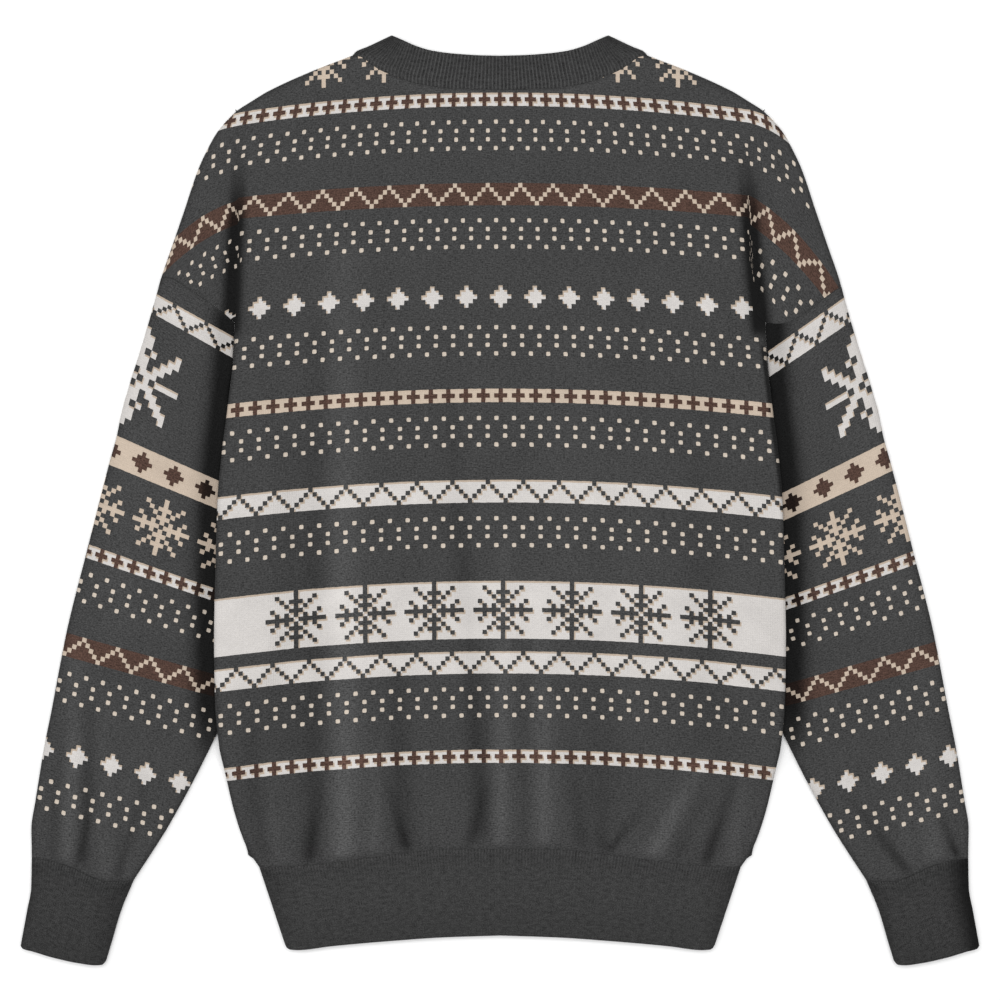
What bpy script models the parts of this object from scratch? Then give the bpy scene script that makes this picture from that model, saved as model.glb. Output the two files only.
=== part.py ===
"""A knitted christmas sweater, laid flat with its back up.

Millimetres are used throughout and turned into metres as each mesh is made.
X runs across the sweater, Y up from the hem to the neck, Z up from the surface.
The front panel lies underneath, the back panel on it, and both sleeves hang
beside the body with their inner edges under its sides.
"""
import math

import bmesh
import bpy
import numpy as np
from mathutils import Vector

MM = 0.001

# ------------------------------------------------------------ driving sizes
WALL = 2.0            # knitted cloth
LAYER_GAP = 1.0       # air between the layer on top and the one below
SEAM_GAP = 0.35       # between two pieces that are sewn together
ARMHOLE_GAP = 0.5    # the same where a sleeve's seam sags
HALF_HEIGHT = WALL + LAYER_GAP / 2
SIDE_SEAM_GAP = 0.4   # between the back's and the front's edge
SLEEVE_CLEARANCE = 0.5
LIFT = 2 * HALF_HEIGHT + SLEEVE_CLEARANCE   # the body's side lies on the sleeve
RELIEF_LIMIT = 3.0    # highest fold over the flat cloth
RIB_CREST = 0.45      # height of a rib over the groove beside it
NECK_RIBS = 75
HEM_RIBS = 150
CUFF_RIBS = 35
TOUCHING = 0.01       # points closer than this are one

# ------------------------------------------------- outlines, right half only
# Each row is a point: x from the middle, y.
SHOULDER = [(111.0, 334.1), (141.0, 322.5), (174.0, 307.5), (187.5, 299.3), (198.0, 292.5),
            (211.9, 277.5), (220.5, 262.5), (227.3, 247.5), (237.4, 217.5), (247.5, 188.0),
            (254.8, 166.9), (256.6, 160.4)]
WING_TOP = 4          # the row of SHOULDER where the wing's outer edge starts
WING_END = {-1: 11, 1: 12}    # and the row after it ends, on the left and the right
ARMPIT_Y = 133.5
# y, x of the fold down to the armpit, then of the body's side edge
SIDE = [(299.3, 187.5), (225.0, 196.5), (133.5, 199.5), (108.8, 200.3), (66.0, 204.8),
        (37.5, 208.5), (0.0, 211.9), (-45.0, 213.3), (-105.0, 214.5), (-150.0, 213.8),
        (-183.8, 210.8), (-202.5, 207.0), (-232.5, 200.3), (-262.5, 189.8), (-276.0, 181.0)]
# x, y of the seam between the body and the hem band
HEM_SEAM = [(0.0, -262.0), (45.0, -262.8), (77.0, -266.0), (108.0, -270.0), (140.0, -274.0),
            (165.0, -275.6), (181.0, -276.0)]
HEM_END = [(0.0, -327.2), (42.0, -328.6), (84.0, -331.5), (126.0, -335.2), (152.0, -338.2),
           (158.8, -337.6), (161.7, -333.9)]
BACK_NECK_SEAM = [(111.0, 334.1), (104.8, 333.0), (97.0, 327.6), (90.5, 323.2), (75.8, 317.2),
                  (60.0, 312.4), (35.3, 309.3), (0.0, 308.3)]
FRONT_NECK_SEAM = [(111.0, 334.1), (108.8, 322.5), (93.8, 292.5), (67.5, 267.8), (37.5, 255.0),
                   (0.0, 249.8)]
BACK_NECK_END = [(81.7, 349.3), (73.5, 345.8), (62.3, 340.9), (50.3, 337.5), (35.3, 335.5),
                 (15.8, 334.2), (0.0, 333.8)]
FRONT_NECK_END = [(81.7, 349.3), (78.8, 330.0), (67.5, 303.8), (45.0, 285.0), (22.5, 277.5),
                  (0.0, 275.3)]
# The right sleeve is sewn on a little lower than the left one, as it lies.
ARMHOLES = {
    -1: [(199.5, 133.5), (210.0, 142.5), (217.5, 147.8), (231.0, 156.8), (242.3, 164.4),
         (249.6, 167.3), (254.8, 166.9)],
    1: [(199.5, 133.5), (207.0, 132.4), (214.6, 133.0), (221.0, 135.6), (233.0, 143.6),
        (245.6, 153.2), (252.5, 158.2), (256.6, 160.4)]}
CUFF_SEAM = [(275.3, -285.6), (283.5, -286.5), (295.5, -286.7), (308.3, -282.8),
             (321.8, -276.4), (336.8, -271.5), (352.1, -269.3)]
# Rows of knitting across the sleeve: inner edge x, y and outer edge x, y.
SLEEVE_ROWS = [(200.6, 132.6, 255.0, 166.4), (201.6, 116.0, 258.8, 152.3),
               (203.2, 96.0, 270.4, 112.5), (204.6, 77.0, 277.3, 91.0),
               (190.8, 40.0, 285.0, 63.8), (186.4, 2.3, 288.0, 48.8),
               (186.0, -16.5, 294.0, 27.0), (188.0, -84.0, 311.6, -42.0),
               (195.0, -141.8, 325.0, -95.0), (206.0, -162.0, 331.2, -126.0),
               (215.9, -182.0, 337.0, -157.0), (230.6, -211.3, 342.8, -186.0),
               (249.9, -246.2, 349.3, -226.0), (262.2, -265.9, 352.7, -248.0),
               (274.8, -285.2, 352.6, -268.9)]
# The same along a cuff, from its seam to its end.
RIGHT_SLEEVE_TOP = (200.6, 132.6, 256.9, 159.9)     # its own first row
CUFF_ROWS = [(275.3, -285.6, 352.1, -269.3), (285.0, -309.0, 352.6, -292.0),
             (291.5, -331.0, 355.5, -308.0), (296.2, -346.5, 360.4, -334.8)]
CUFF_END = [(296.2, -346.5), (299.0, -349.2), (304.0, -349.6), (317.6, -347.9),
            (336.8, -343.6), (351.0, -339.3), (358.5, -337.2), (360.4, -334.8)]

# ---------------------------------------------------------------- the folds
# Soft folds of the back: x, y at one end, x, y at the other, half width, height.
BACK_FOLDS = [
    (-112.0, 180.0, -116.0, -266.0, 16.0, 1.5),
    (-137.0, 170.0, -139.0, -266.0, 12.0, -1.3),
    (2.0, 0.0, 30.0, -266.0, 18.0, 1.5),
    (-34.0, 45.0, -30.0, -60.0, 11.0, -0.9),
    (-45.0, -105.0, -58.0, -270.0, 12.0, -1.4),
    (-15.0, -105.0, -15.0, -270.0, 10.0, -1.1),
    (-72.0, -205.0, -83.0, -270.0, 10.0, -1.3),
    (-98.0, -150.0, -98.0, -268.0, 12.0, 0.9),
    (88.0, -210.0, 92.0, -272.0, 10.0, -1.3),
    (112.0, -200.0, 112.0, -272.0, 8.0, -1.1),
    (126.0, -190.0, 143.0, -272.0, 10.0, 1.3),
    (150.0, -205.0, 160.0, -274.0, 9.0, -1.2),
    (-160.0, -200.0, -166.0, -274.0, 9.0, 1.1),
    (70.0, 120.0, 60.0, -150.0, 22.0, 0.7),
    (140.0, 60.0, 150.0, -160.0, 20.0, 0.8),
]
SLEEVE_FOLDS = [
    (-319.0, -130.0, -319.0, -266.0, 9.0, 1.6),
    (-308.0, -200.0, -308.0, -276.0, 6.0, -1.4),
    (-290.0, -150.0, -288.0, -282.0, 8.0, 1.2),
    (-276.0, -190.0, -279.0, -284.0, 6.0, -1.0),
    (-262.0, 60.0, -290.0, -90.0, 16.0, 0.8),
    (332.0, -130.0, 330.0, -268.0, 9.0, 1.4),
    (342.0, -200.0, 341.0, -268.0, 6.0, -1.3),
    (300.0, -160.0, 312.0, -276.0, 8.0, 1.4),
    (288.0, -190.0, 290.0, -284.0, 7.0, -1.2),
    (258.0, 70.0, 300.0, -80.0, 16.0, 0.9),
]
FOLD_START = 0.45     # share of a fold's height at its first end
FOLD_GROWTH = 0.7     # share of its length over which it grows to its whole height
FOLD_FADE = 18.0      # how it runs out past its ends
# The folds rise and sink from a crown: its height over the flat cloth, and how far
# from an edge and from a seam it is full.
BACK_CROWN = 1.3
BACK_EDGE_REACH = 40.0
BACK_SEAM_REACH = 16.0
SLEEVE_CROWN = 1.2
SLEEVE_EDGE_REACH = 22.0
SLEEVE_SEAM_REACH = 14.0
WING_CROWN = 1.3
WING_FOLD_REACH = 22.0
WING_EDGE_REACH = 14.0
# The body's cloth sinks at the fold above the armpit and stands up beside it.
SINK_TOP = 272.0
SINK_BOTTOM = 60.0
SINK_FADE = 70.0      # over this height at its top and bottom it comes and goes
SINK_WIDTH = 16.0
FOLD_RIDGE = 2.4
RIDGE_START = 5.0
WING_BOTTOM = 123.5   # y below which nothing is over the fold
SLEEVE_CLEAR_FROM = 3.0   # a sleeve is flat this far past the body's side
SLEEVE_CLEAR_OVER = 16.0  # and full this much further out
SLEEVE_FREE_Y = -215.0    # below this the body doesn't lie on it

# ------------------------------------------------------------- mesh stations
ROUND = (0.0, 0.293, 1.0)     # the rounded edge, in fractions of its radius
TOP_START = 2                 # points of a tube's section before its flat top
# y of each row along the fold and the side edge, below the rounded shoulder
BODY_ROWS = (280.0, 248.0, 214.0, 176.0, ARMPIT_Y, 118.0, 103.0, 88.0, 74.0, 42.0, 8.0, -28.0,
             -64.0, -100.0, -136.0, -164.0, -184.0, -198.0, -212.0, -226.0, -245.0, -261.0,
             -276.0)
SIDE_COLUMNS = (13.0, 26.0, 40.0, 58.0)   # distances in from the side edge
NECK_COLUMN = 111.0 / 129.5   # a column meets the shoulder end of the neck seam
BACK_COLUMNS = 8      # steps from that column to the middle
FRONT_COLUMNS = 5
WING_COLUMNS = 8
SLEEVE_STATIONS = 20
SLEEVE_COLUMNS = 14, 12         # over the top and the underside of a sleeve
LIFT_TOP = (124.0, 76.0)      # y where the side starts to rise and is all up
LIFT_BOTTOM = (-184.0, -226.0)
LIFT_MARGIN = 13.0
LIFT_RAMP = 24.0
BOW_ROWS = 4          # rows of the wing that take up the armhole seam's curve
SEAM_FADES = (0.12, 0.1)  # shares of a sleeve that follow its first and last seam
CUFF_STATIONS = (0.0, 0.4, 1.0)
HEM_UNDERSIDE = 15    # columns under a band, which is plain there
NECK_UNDERSIDE = 27

COLLECTION = "christmas_sweater"
CHARCOAL = (0.055, 0.055, 0.056, 1.0)
RIB_CHARCOAL = (0.044, 0.044, 0.045, 1.0)
YARN_ROUGHNESS = 0.92
SHARP_ANGLE = 50.0    # degrees
MERGE_DISTANCE = 0.000001     # metres


# ------------------------------------------------------------------ geometry
def smooth(knots, values, at):
    """A cubic through the rows of a table that doesn't overshoot them."""
    knots, values = np.asarray(knots, float), np.asarray(values, float)
    step = np.diff(knots)
    slope = np.diff(values) / step
    inner = np.where(slope[:-1] * slope[1:] > 0,
                     2 * slope[:-1] * slope[1:] / (slope[:-1] + slope[1:] + 1e-12), 0.0)
    tangent = np.concatenate(([slope[0]], inner, [slope[-1]]))
    at = np.clip(at, knots[0], knots[-1])
    i = np.clip(np.searchsorted(knots, at, side="right") - 1, 0, len(step) - 1)
    t = (at - knots[i]) / step[i]
    return (values[i] * (1 + 2 * t) * (1 - t) ** 2 + values[i + 1] * t * t * (3 - 2 * t)
            + step[i] * tangent[i] * t * (1 - t) ** 2 + step[i] * tangent[i + 1] * t * t * (t - 1))


def ease(value):
    """0 to 1 in a soft step."""
    value = np.clip(value, 0.0, 1.0)
    return value * value * (3 - 2 * value)


def rounded(distance):
    """Height of a round edge, 0 at the edge and 1 a radius in from it."""
    inside = np.clip(distance / HALF_HEIGHT, 0.0, 1.0)
    return np.sqrt(1 - (1 - inside) ** 2)


def along(points, at):
    """Points at fractions of the length of a smooth line through the given ones."""
    points = np.asarray(points, float)
    length = np.concatenate(([0.0], np.cumsum(np.hypot(*np.diff(points, axis=0).T))))
    at = np.asarray(at) * length[-1]
    return np.stack([smooth(length, points[:, 0], at), smooth(length, points[:, 1], at)], -1)


def on_polyline(points, at):
    """Points at fractions of the length of a line of straight pieces."""
    length = np.concatenate(([0.0], np.cumsum(np.hypot(*np.diff(points, axis=0).T))))
    at = np.asarray(at) * length[-1]
    return np.stack([np.interp(at, length, points[:, 0]), np.interp(at, length, points[:, 1])], -1)


def line_length(points):
    return float(np.sum(np.hypot(*np.diff(points, axis=0).T)))


def moved_line(points, gap):
    """The same line moved sideways by gap, to the right of its direction."""
    piece = np.diff(points, axis=0)
    piece = piece / np.hypot(*piece.T)[:, None]
    before = np.vstack([piece[:1], piece])
    after = np.vstack([piece, piece[-1:]])
    middle = before + after
    middle = middle / np.hypot(*middle.T)[:, None]
    stretch = 1 / np.sum(middle * after, axis=1)
    return points + gap * stretch[:, None] * np.stack([middle[:, 1], -middle[:, 0]], -1)


def distance_to(points, line):
    """Shortest distance from each point to a line of straight pieces."""
    best = np.full(len(points), np.inf)
    for start, end in zip(line[:-1], line[1:]):
        run = end - start
        t = np.clip(((points - start) @ run) / (run @ run), 0.0, 1.0)
        away = points - start - t[:, None] * run
        best = np.minimum(best, np.hypot(away[:, 0], away[:, 1]))
    return best


def side_x(y):
    """Half width of the body at the fold or the side edge."""
    table = np.array(SIDE)[::-1]
    return smooth(table[:, 0], table[:, 1], y)


SHOULDER_LINE = along(SHOULDER, np.linspace(0, 1, 120))
SIDE_LINE = np.array([(side_x(y), y) for y in np.linspace(ARMPIT_Y, SIDE[-1][0], 120)])
ARMHOLE_LINES = {side: along(ARMHOLES[side], np.linspace(0, 1, 60)) for side in (-1, 1)}
CUFF_SEAM_LINE = along(CUFF_SEAM, np.linspace(0, 1, 60))
SLEEVE_TABLE = np.array(SLEEVE_ROWS)
SLEEVE_TABLES = {-1: SLEEVE_TABLE, 1: np.vstack([RIGHT_SLEEVE_TOP, SLEEVE_TABLE[1:]])}


def sleeve_inner_x(y):
    """x of the sleeve's inner edge, most of it under the body."""
    order = np.argsort(SLEEVE_TABLE[:, 1])
    return smooth(SLEEVE_TABLE[order, 1], SLEEVE_TABLE[order, 0], y)


def lift(x, y):
    """How far the body's side is raised where it lies on the sleeve."""
    inner_end = np.minimum(sleeve_inner_x(y), side_x(y)) - LIFT_MARGIN
    across = ease((np.abs(x) - inner_end + LIFT_RAMP) / LIFT_RAMP)
    top = ease((LIFT_TOP[0] - y) / (LIFT_TOP[0] - LIFT_TOP[1]))
    bottom = ease((y - LIFT_BOTTOM[1]) / (LIFT_BOTTOM[0] - LIFT_BOTTOM[1]))
    return LIFT * across * top * bottom


def fold_height(x, y, folds):
    """Sum of the soft folds at each point, which deepen towards their second end."""
    total = np.zeros_like(x)
    for x0, y0, x1, y1, half_width, height in folds:
        run_x, run_y = x1 - x0, y1 - y0
        t = ((x - x0) * run_x + (y - y0) * run_y) / (run_x ** 2 + run_y ** 2)
        beyond = np.maximum(0.0, np.maximum(-t, t - 1)) * math.hypot(run_x, run_y)
        away = np.hypot(x - x0 - t * run_x, y - y0 - t * run_y)
        grown = FOLD_START + (1 - FOLD_START) * ease(t / FOLD_GROWTH)
        total += height * grown * np.exp(-(away / half_width) ** 2 - (beyond / FOLD_FADE) ** 2)
    return total


def back_relief(x, y, seam_distance, edge_distance):
    """Height of the back's folds over its flat cloth."""
    past_fold = np.abs(x) - side_x(y)
    body = BACK_CROWN * ease(edge_distance / BACK_EDGE_REACH) + fold_height(x, y, BACK_FOLDS)
    sunk = ease((SINK_TOP - y) / SINK_FADE) * ease((y - SINK_BOTTOM) / SINK_FADE)
    further_in = np.clip(-past_fold - RIDGE_START, 0.0, None)
    ridge = ease(-past_fold / RIDGE_START) * np.exp(-(further_in / SINK_WIDTH) ** 2)
    body = body * (1 - sunk * np.exp(-(past_fold / SINK_WIDTH) ** 2)) + FOLD_RIDGE * sunk * ridge
    wing = WING_CROWN * ease(past_fold / WING_FOLD_REACH) * ease(edge_distance / WING_EDGE_REACH)
    relief = np.where((past_fold > 0) & (y > WING_BOTTOM), wing, body)
    return np.clip(relief, 0.0, RELIEF_LIMIT) * ease(seam_distance / BACK_SEAM_REACH)


def sleeve_relief(x, y, seam_distance, edge_distance):
    """Height of a sleeve's folds, none where the body lies on it."""
    outside = np.abs(x) - side_x(y) - SLEEVE_CLEAR_FROM
    clear = np.where(y > SLEEVE_FREE_Y, ease(outside / SLEEVE_CLEAR_OVER), 1.0)
    relief = SLEEVE_CROWN * ease(edge_distance / SLEEVE_EDGE_REACH) + fold_height(x, y, SLEEVE_FOLDS)
    return np.clip(relief, 0.0, RELIEF_LIMIT) * clear * ease(seam_distance / SLEEVE_SEAM_REACH)


# --------------------------------------------------------------------- panels
def top_y(x, neck_seam):
    """y of a panel's upper boundary, along the shoulder and the neck seam."""
    x = np.abs(x)
    shoulder = np.array(SHOULDER)
    neck = np.array(neck_seam)[::-1]
    at_shoulder = smooth(shoulder[:, 0], shoulder[:, 1], x)
    return np.where(x >= shoulder[0, 0], at_shoulder, smooth(neck[:, 0], neck[:, 1], x))


def hem_y(x):
    table = np.array(HEM_SEAM)
    return smooth(table[:, 0], table[:, 1], np.abs(x))


def panel_row(y_side, drop, fixed, steps, neck_seam):
    """One row between the sides: the top edge's shape above, the hem seam's below."""
    half_width = side_x(y_side)
    right = np.concatenate([half_width - np.array(fixed), (half_width - fixed[-1]) * steps])
    x = np.concatenate([-right, right[-2::-1]])
    top = top_y(x, neck_seam) - drop
    if y_side > ARMPIT_Y:
        start = SIDE[0][0] - drop
        share = (start - y_side) / (start - ARMPIT_Y)
        y = top + (ARMPIT_Y - top) * share
    else:
        share = (ARMPIT_Y - y_side) / (ARMPIT_Y - SIDE[-1][0])
        y = ARMPIT_Y + (hem_y(x) - ARMPIT_Y) * share
    return np.stack([x, y], -1)


def panel_points(middle_columns, neck_seam):
    """Rows of points over a panel between its two folds and side edges."""
    edge_steps = [HALF_HEIGHT * r for r in ROUND]
    fixed = edge_steps + list(SIDE_COLUMNS)
    steps = np.linspace(NECK_COLUMN, 0.0, middle_columns + 1)
    rows = [panel_row(SIDE[0][0] - drop, drop, fixed, steps, neck_seam) for drop in edge_steps]
    rows += [panel_row(y, edge_steps[-1], fixed, steps, neck_seam) for y in BODY_ROWS]
    return np.array(rows)


def wing_points(body, side):
    """Rows of points from the fold above the armpit out to the shoulder's end."""
    edge_steps = [HALF_HEIGHT * r for r in ROUND]
    steps = BODY_ROWS.index(ARMPIT_Y) + 1
    last = len(ROUND) + steps - 1
    shoulder = along(SHOULDER[WING_TOP:WING_END[side]], np.linspace(0, 1, 200))
    length = line_length(shoulder)
    ends = edge_steps + list(np.linspace(edge_steps[-1], length, steps + 1)[1:])
    rows = []
    for index, end in enumerate(ends):
        start, stop = body[index, -1], on_polyline(shoulder, end / length)
        width = math.hypot(*(stop - start))
        inner = np.linspace(0.0, width - HALF_HEIGHT, WING_COLUMNS + 1)
        q = np.concatenate([inner, [width - HALF_HEIGHT * ROUND[1], width]]) / width
        straight = start + q[:, None] * (stop - start)
        seam = on_polyline(ARMHOLE_LINES[side], q)
        seam_chord = seam[0] + q[:, None] * (seam[-1] - seam[0])
        bow = ease((index - last + BOW_ROWS) / BOW_ROWS)
        rows.append(straight + (seam - seam_chord) * bow)
    return np.array(rows)


def seam_directions(points):
    """Unit direction along a row of points."""
    run = np.gradient(points, axis=0)
    return run / np.hypot(run[:, 0], run[:, 1])[:, None]


def neck_part(row):
    """The points of a panel's first row that lie on its neck seam."""
    return row[np.abs(row[:, 0]) <= SHOULDER[0][0] + TOUCHING]


def panel_surface(middle_columns, neck_seam, over):
    """The grids of one panel: positions and the directions of its open seams."""
    body = panel_points(middle_columns, neck_seam)
    wings = {side: wing_points(body, side) for side in (-1, 1)}
    right, left = wings[1], wings[-1] * (-1, 1)
    seams = [body[-1], neck_part(body[0]), right[-1], left[-1]]
    grids = []
    for plan in (body, right, left):
        flat = plan.reshape(-1, 2)
        x, y = flat.T
        mirrored = np.stack([np.abs(x), y], -1)
        edge = np.minimum(distance_to(mirrored, SHOULDER_LINE), distance_to(mirrored, SIDE_LINE))
        seam = np.min([distance_to(flat, line) for line in seams], axis=0)
        middle = HALF_HEIGHT + lift(x, y)
        height = np.maximum(HALF_HEIGHT * rounded(edge), SIDE_SEAM_GAP / 2)
        if over:
            z = middle + height + back_relief(x, y, seam, edge)
        else:
            z = middle - height
        seam_run = np.zeros(plan.shape)
        seam_run[-1] = seam_directions(plan[-1])
        if plan is body:
            on_neck = np.abs(plan[0, :, 0]) <= SHOULDER[0][0] + TOUCHING
            seam_run[0][on_neck] = seam_directions(plan[0])[on_neck]
        places = np.stack([x, y, z], -1).reshape(*plan.shape[:2], 3)
        grids.append((places, np.zeros(plan.shape[:2]), seam_run))
    return grids, body, wings


# ---------------------------------------------------------------------- tubes
def section(width, top_columns, bottom_columns):
    """Distance across and height, -1 to 1, around a flattened tube."""
    bend = HALF_HEIGHT * ROUND[1]
    rise = math.sqrt(0.5)
    top = np.linspace(HALF_HEIGHT, width - HALF_HEIGHT, top_columns)
    bottom = np.linspace(width - HALF_HEIGHT, HALF_HEIGHT, bottom_columns)
    across = np.concatenate([[0.0, bend], top, [width - bend, width, width - bend], bottom,
                             [bend, 0.0]])
    height = np.concatenate([[0.0, rise], np.ones(top_columns), [rise, 0.0, -rise],
                             -np.ones(bottom_columns), [-rise, 0.0]])
    return across, height


def flat_tube(first, last, edges, fades, stations, columns, ribbed=False, widths=None,
              relief=None):
    """A grid round a flat tube between two open ends.

    first and last hold the lines of the upper and the lower layer at each end,
    edges gives the two folded edges at a share of the length, and fades say how
    far along each end's line is followed. widths gives the length of a layer
    across where it isn't the distance between its edges.
    """
    start_inner, start_outer = edges(0.0)
    end_inner, end_outer = edges(1.0)
    places, seam_run = [], []
    for s in stations:
        inner, outer = edges(s)
        plans, runs = {}, {}
        for side in (1, -1):
            width = widths(s, side) if widths else math.hypot(*(outer - inner))
            across, height = section(width, *columns)
            share = across[:, None] / width
            begin = on_polyline(first[side], share[:, 0])
            begin = begin - (start_inner + share * (start_outer - start_inner))
            finish = on_polyline(last[side], share[:, 0])
            finish = finish - (end_inner + share * (end_outer - end_inner))
            straight = inner + share * (outer - inner)
            plans[side] = straight + begin * fades[0](s) + finish * fades[1](s)
            line = first[side] if s == stations[0] else last[side]
            runs[side] = direction_on(line, share[:, 0])
        upper = height[:, None] >= 0
        plan = np.where(upper, plans[1], plans[-1])
        plan[-1] = plan[0]
        places.append(np.concatenate([plan, HALF_HEIGHT * (1 + height[:, None])], 1))
        at_end = s in (stations[0], stations[-1])
        seam_run.append(np.where(upper, runs[1], runs[-1]) * at_end)
    places = np.array(places)
    crests = np.zeros(places.shape[:2])
    if ribbed:
        crests[:, TOP_START:TOP_START + columns[0]] = RIB_CREST * (np.arange(columns[0]) % 2)
    if relief is not None:
        flat = places[..., :2].reshape(-1, 2)
        on_top = places[..., 2] > 2 * HALF_HEIGHT - TOUCHING
        places[..., 2] += relief(flat).reshape(on_top.shape) * on_top
    return [(places, crests, np.array(seam_run))]


def toward(point, target, gap=1.3 * SEAM_GAP):
    """A point moved a seam's gap on its way to another."""
    run = np.asarray(target, float) - point
    return point + run * gap / math.hypot(*run)


def shared_ends(upper, lower, inner, outer):
    """Two lines with their end points brought together."""
    upper, lower = upper.copy(), lower.copy()
    upper[0] = lower[0] = inner
    upper[-1] = lower[-1] = outer
    return {1: upper, -1: lower}


def direction_on(line, share, step=0.004):
    """Unit direction of a line at shares of its length."""
    ahead = on_polyline(line, np.clip(share + step, 0, 1))
    behind = on_polyline(line, np.clip(share - step, 0, 1))
    run = ahead - behind
    return run / np.hypot(run[:, 0], run[:, 1])[:, None]


def mirrored_line(half):
    """A line over the whole width from its right half, given from the middle or the end."""
    points = along(half, np.linspace(0, 1, 60))
    if points[0][0] < points[-1][0]:
        points = points[::-1]
    left = points * (-1, 1)
    return np.vstack([left, points[::-1][1:]])


# --------------------------------------------------------------------- solids
def cloth_material(name, colour):
    material = bpy.data.materials.new(name)
    material.use_nodes = True
    shader = material.node_tree.nodes["Principled BSDF"]
    shader.inputs["Base Color"].default_value = colour
    shader.inputs["Roughness"].default_value = YARN_ROUGHNESS
    shader.inputs["Metallic"].default_value = 0.0
    return material


def build_surface(name, grids, upward):
    """One open surface from its grids, joined where they share points."""
    surface = bmesh.new()
    crest_layer = surface.verts.layers.float.new("crest")
    seam_layer = surface.verts.layers.float_vector.new("seam_run")
    for points, crests, seam_run in grids:
        rows, columns = points.shape[:2]
        made = bmesh.ops.create_grid(surface, x_segments=columns - 1, y_segments=rows - 1, size=1.0)
        values = zip(made["verts"], points.reshape(-1, 3), crests.reshape(-1),
                     seam_run.reshape(-1, 2))
        for vert, place, crest, run in values:
            vert.co = Vector(place) * MM
            vert[crest_layer] = crest * MM
            vert[seam_layer] = (run[0], run[1], 0.0)
    bmesh.ops.remove_doubles(surface, verts=surface.verts, dist=MERGE_DISTANCE)
    bmesh.ops.recalc_face_normals(surface, faces=surface.faces)
    middle = HALF_HEIGHT * MM
    if upward is None:
        facing = sum(f.normal.z * (f.calc_center_median().z - middle) * f.calc_area()
                     for f in surface.faces)
    else:
        facing = sum(f.normal.z * f.calc_area() for f in surface.faces) * upward
    if facing < 0:
        bmesh.ops.reverse_faces(surface, faces=surface.faces)
    mesh = bpy.data.meshes.new(name)
    surface.to_mesh(mesh)
    surface.free()
    return mesh


def cloth_solid(name, grids, colour, collection, upward=None):
    """Cloth WALL thick under an outer surface, with its ribs raised outside only."""
    mesh = build_surface(name, grids, upward)
    cloth = bpy.data.objects.new(name, mesh)
    collection.objects.link(cloth)
    wall = cloth.modifiers.new("wall", "SOLIDIFY")
    wall.thickness = WALL * MM
    wall.offset = -1.0
    wall.use_even_offset = True
    bpy.context.view_layer.update()
    graph = bpy.context.evaluated_depsgraph_get()
    solid = bpy.data.meshes.new_from_object(cloth.evaluated_get(graph))
    count = len(mesh.vertices)
    crests = [item.value for item in mesh.attributes["crest"].data]
    seam_run = [Vector(item.vector) for item in mesh.attributes["seam_run"].data]
    for index in range(count):
        outer, inner = solid.vertices[index], solid.vertices[index + count]
        inner.co = square_end(outer.co.copy(), inner.co.copy(), seam_run[index], upward)
        outer.co.z += crests[index]
    cloth.modifiers.clear()
    cloth.data = solid
    solid.name = name
    solid.shade_smooth()
    solid.set_sharp_from_angle(angle=math.radians(SHARP_ANGLE))
    solid.materials.clear()
    solid.materials.append(cloth_material(name + "_knit", colour))
    return cloth


def square_end(outer, inner, run, upward):
    """The inner point, with a seam's end face upright and the two layers kept apart."""
    if run.length > 0.5:
        step = (inner - outer).dot(run.normalized())
        inner.x = outer.x + run.normalized().x * step
        inner.y = outer.y + run.normalized().y * step
    if upward is not None:
        place = np.array([inner.x / MM]), np.array([inner.y / MM])
        middle = (HALF_HEIGHT + float(lift(*place)[0])) * MM
        space = SIDE_SEAM_GAP / 2 * MM
        if upward > 0:
            inner.z = max(inner.z, middle + space)
        else:
            inner.z = min(inner.z, middle - space)
    return inner


# --------------------------------------------------------------------- pieces
def sleeve_edges(s, side):
    table = SLEEVE_TABLES[side]
    length = np.concatenate(([0.0], np.cumsum(np.hypot(*np.diff(table[:, 2:], axis=0).T))))
    at = s * length[-1]
    values = [float(smooth(length, table[:, k], at)) for k in range(4)]
    return np.array(values[:2]), np.array(values[2:])


def cuff_edges(s):
    table = np.array(CUFF_ROWS)
    at = s * (len(table) - 1)
    values = [float(smooth(range(len(table)), table[:, k], at)) for k in range(4)]
    return np.array(values[:2]), np.array(values[2:])


def straight_edges(first, last):
    """Edges that run straight from the ends of one line to the ends of another."""
    def edges(s):
        return first[0] + s * (last[0] - first[0]), first[-1] + s * (last[-1] - first[-1])
    return edges


def flip(grids, side):
    """The grids of a right-hand piece, or of its left-hand mirror image."""
    flipped = []
    for points, crests, seam_run in grids:
        flipped.append((points * (side, 1, 1), crests, seam_run * (side, 1)))
    return flipped


def build_panels(collection):
    """Both panels; returns the rows of points that other pieces are sewn to."""
    back, back_body, back_wings = panel_surface(BACK_COLUMNS, BACK_NECK_SEAM, over=True)
    front, front_body, front_wings = panel_surface(FRONT_COLUMNS, FRONT_NECK_SEAM, over=False)
    cloth_solid("back_panel", back, CHARCOAL, collection, upward=1)
    cloth_solid("front_panel", front, CHARCOAL, collection, upward=-1)
    return (back_body, back_wings), (front_body, front_wings)


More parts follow.
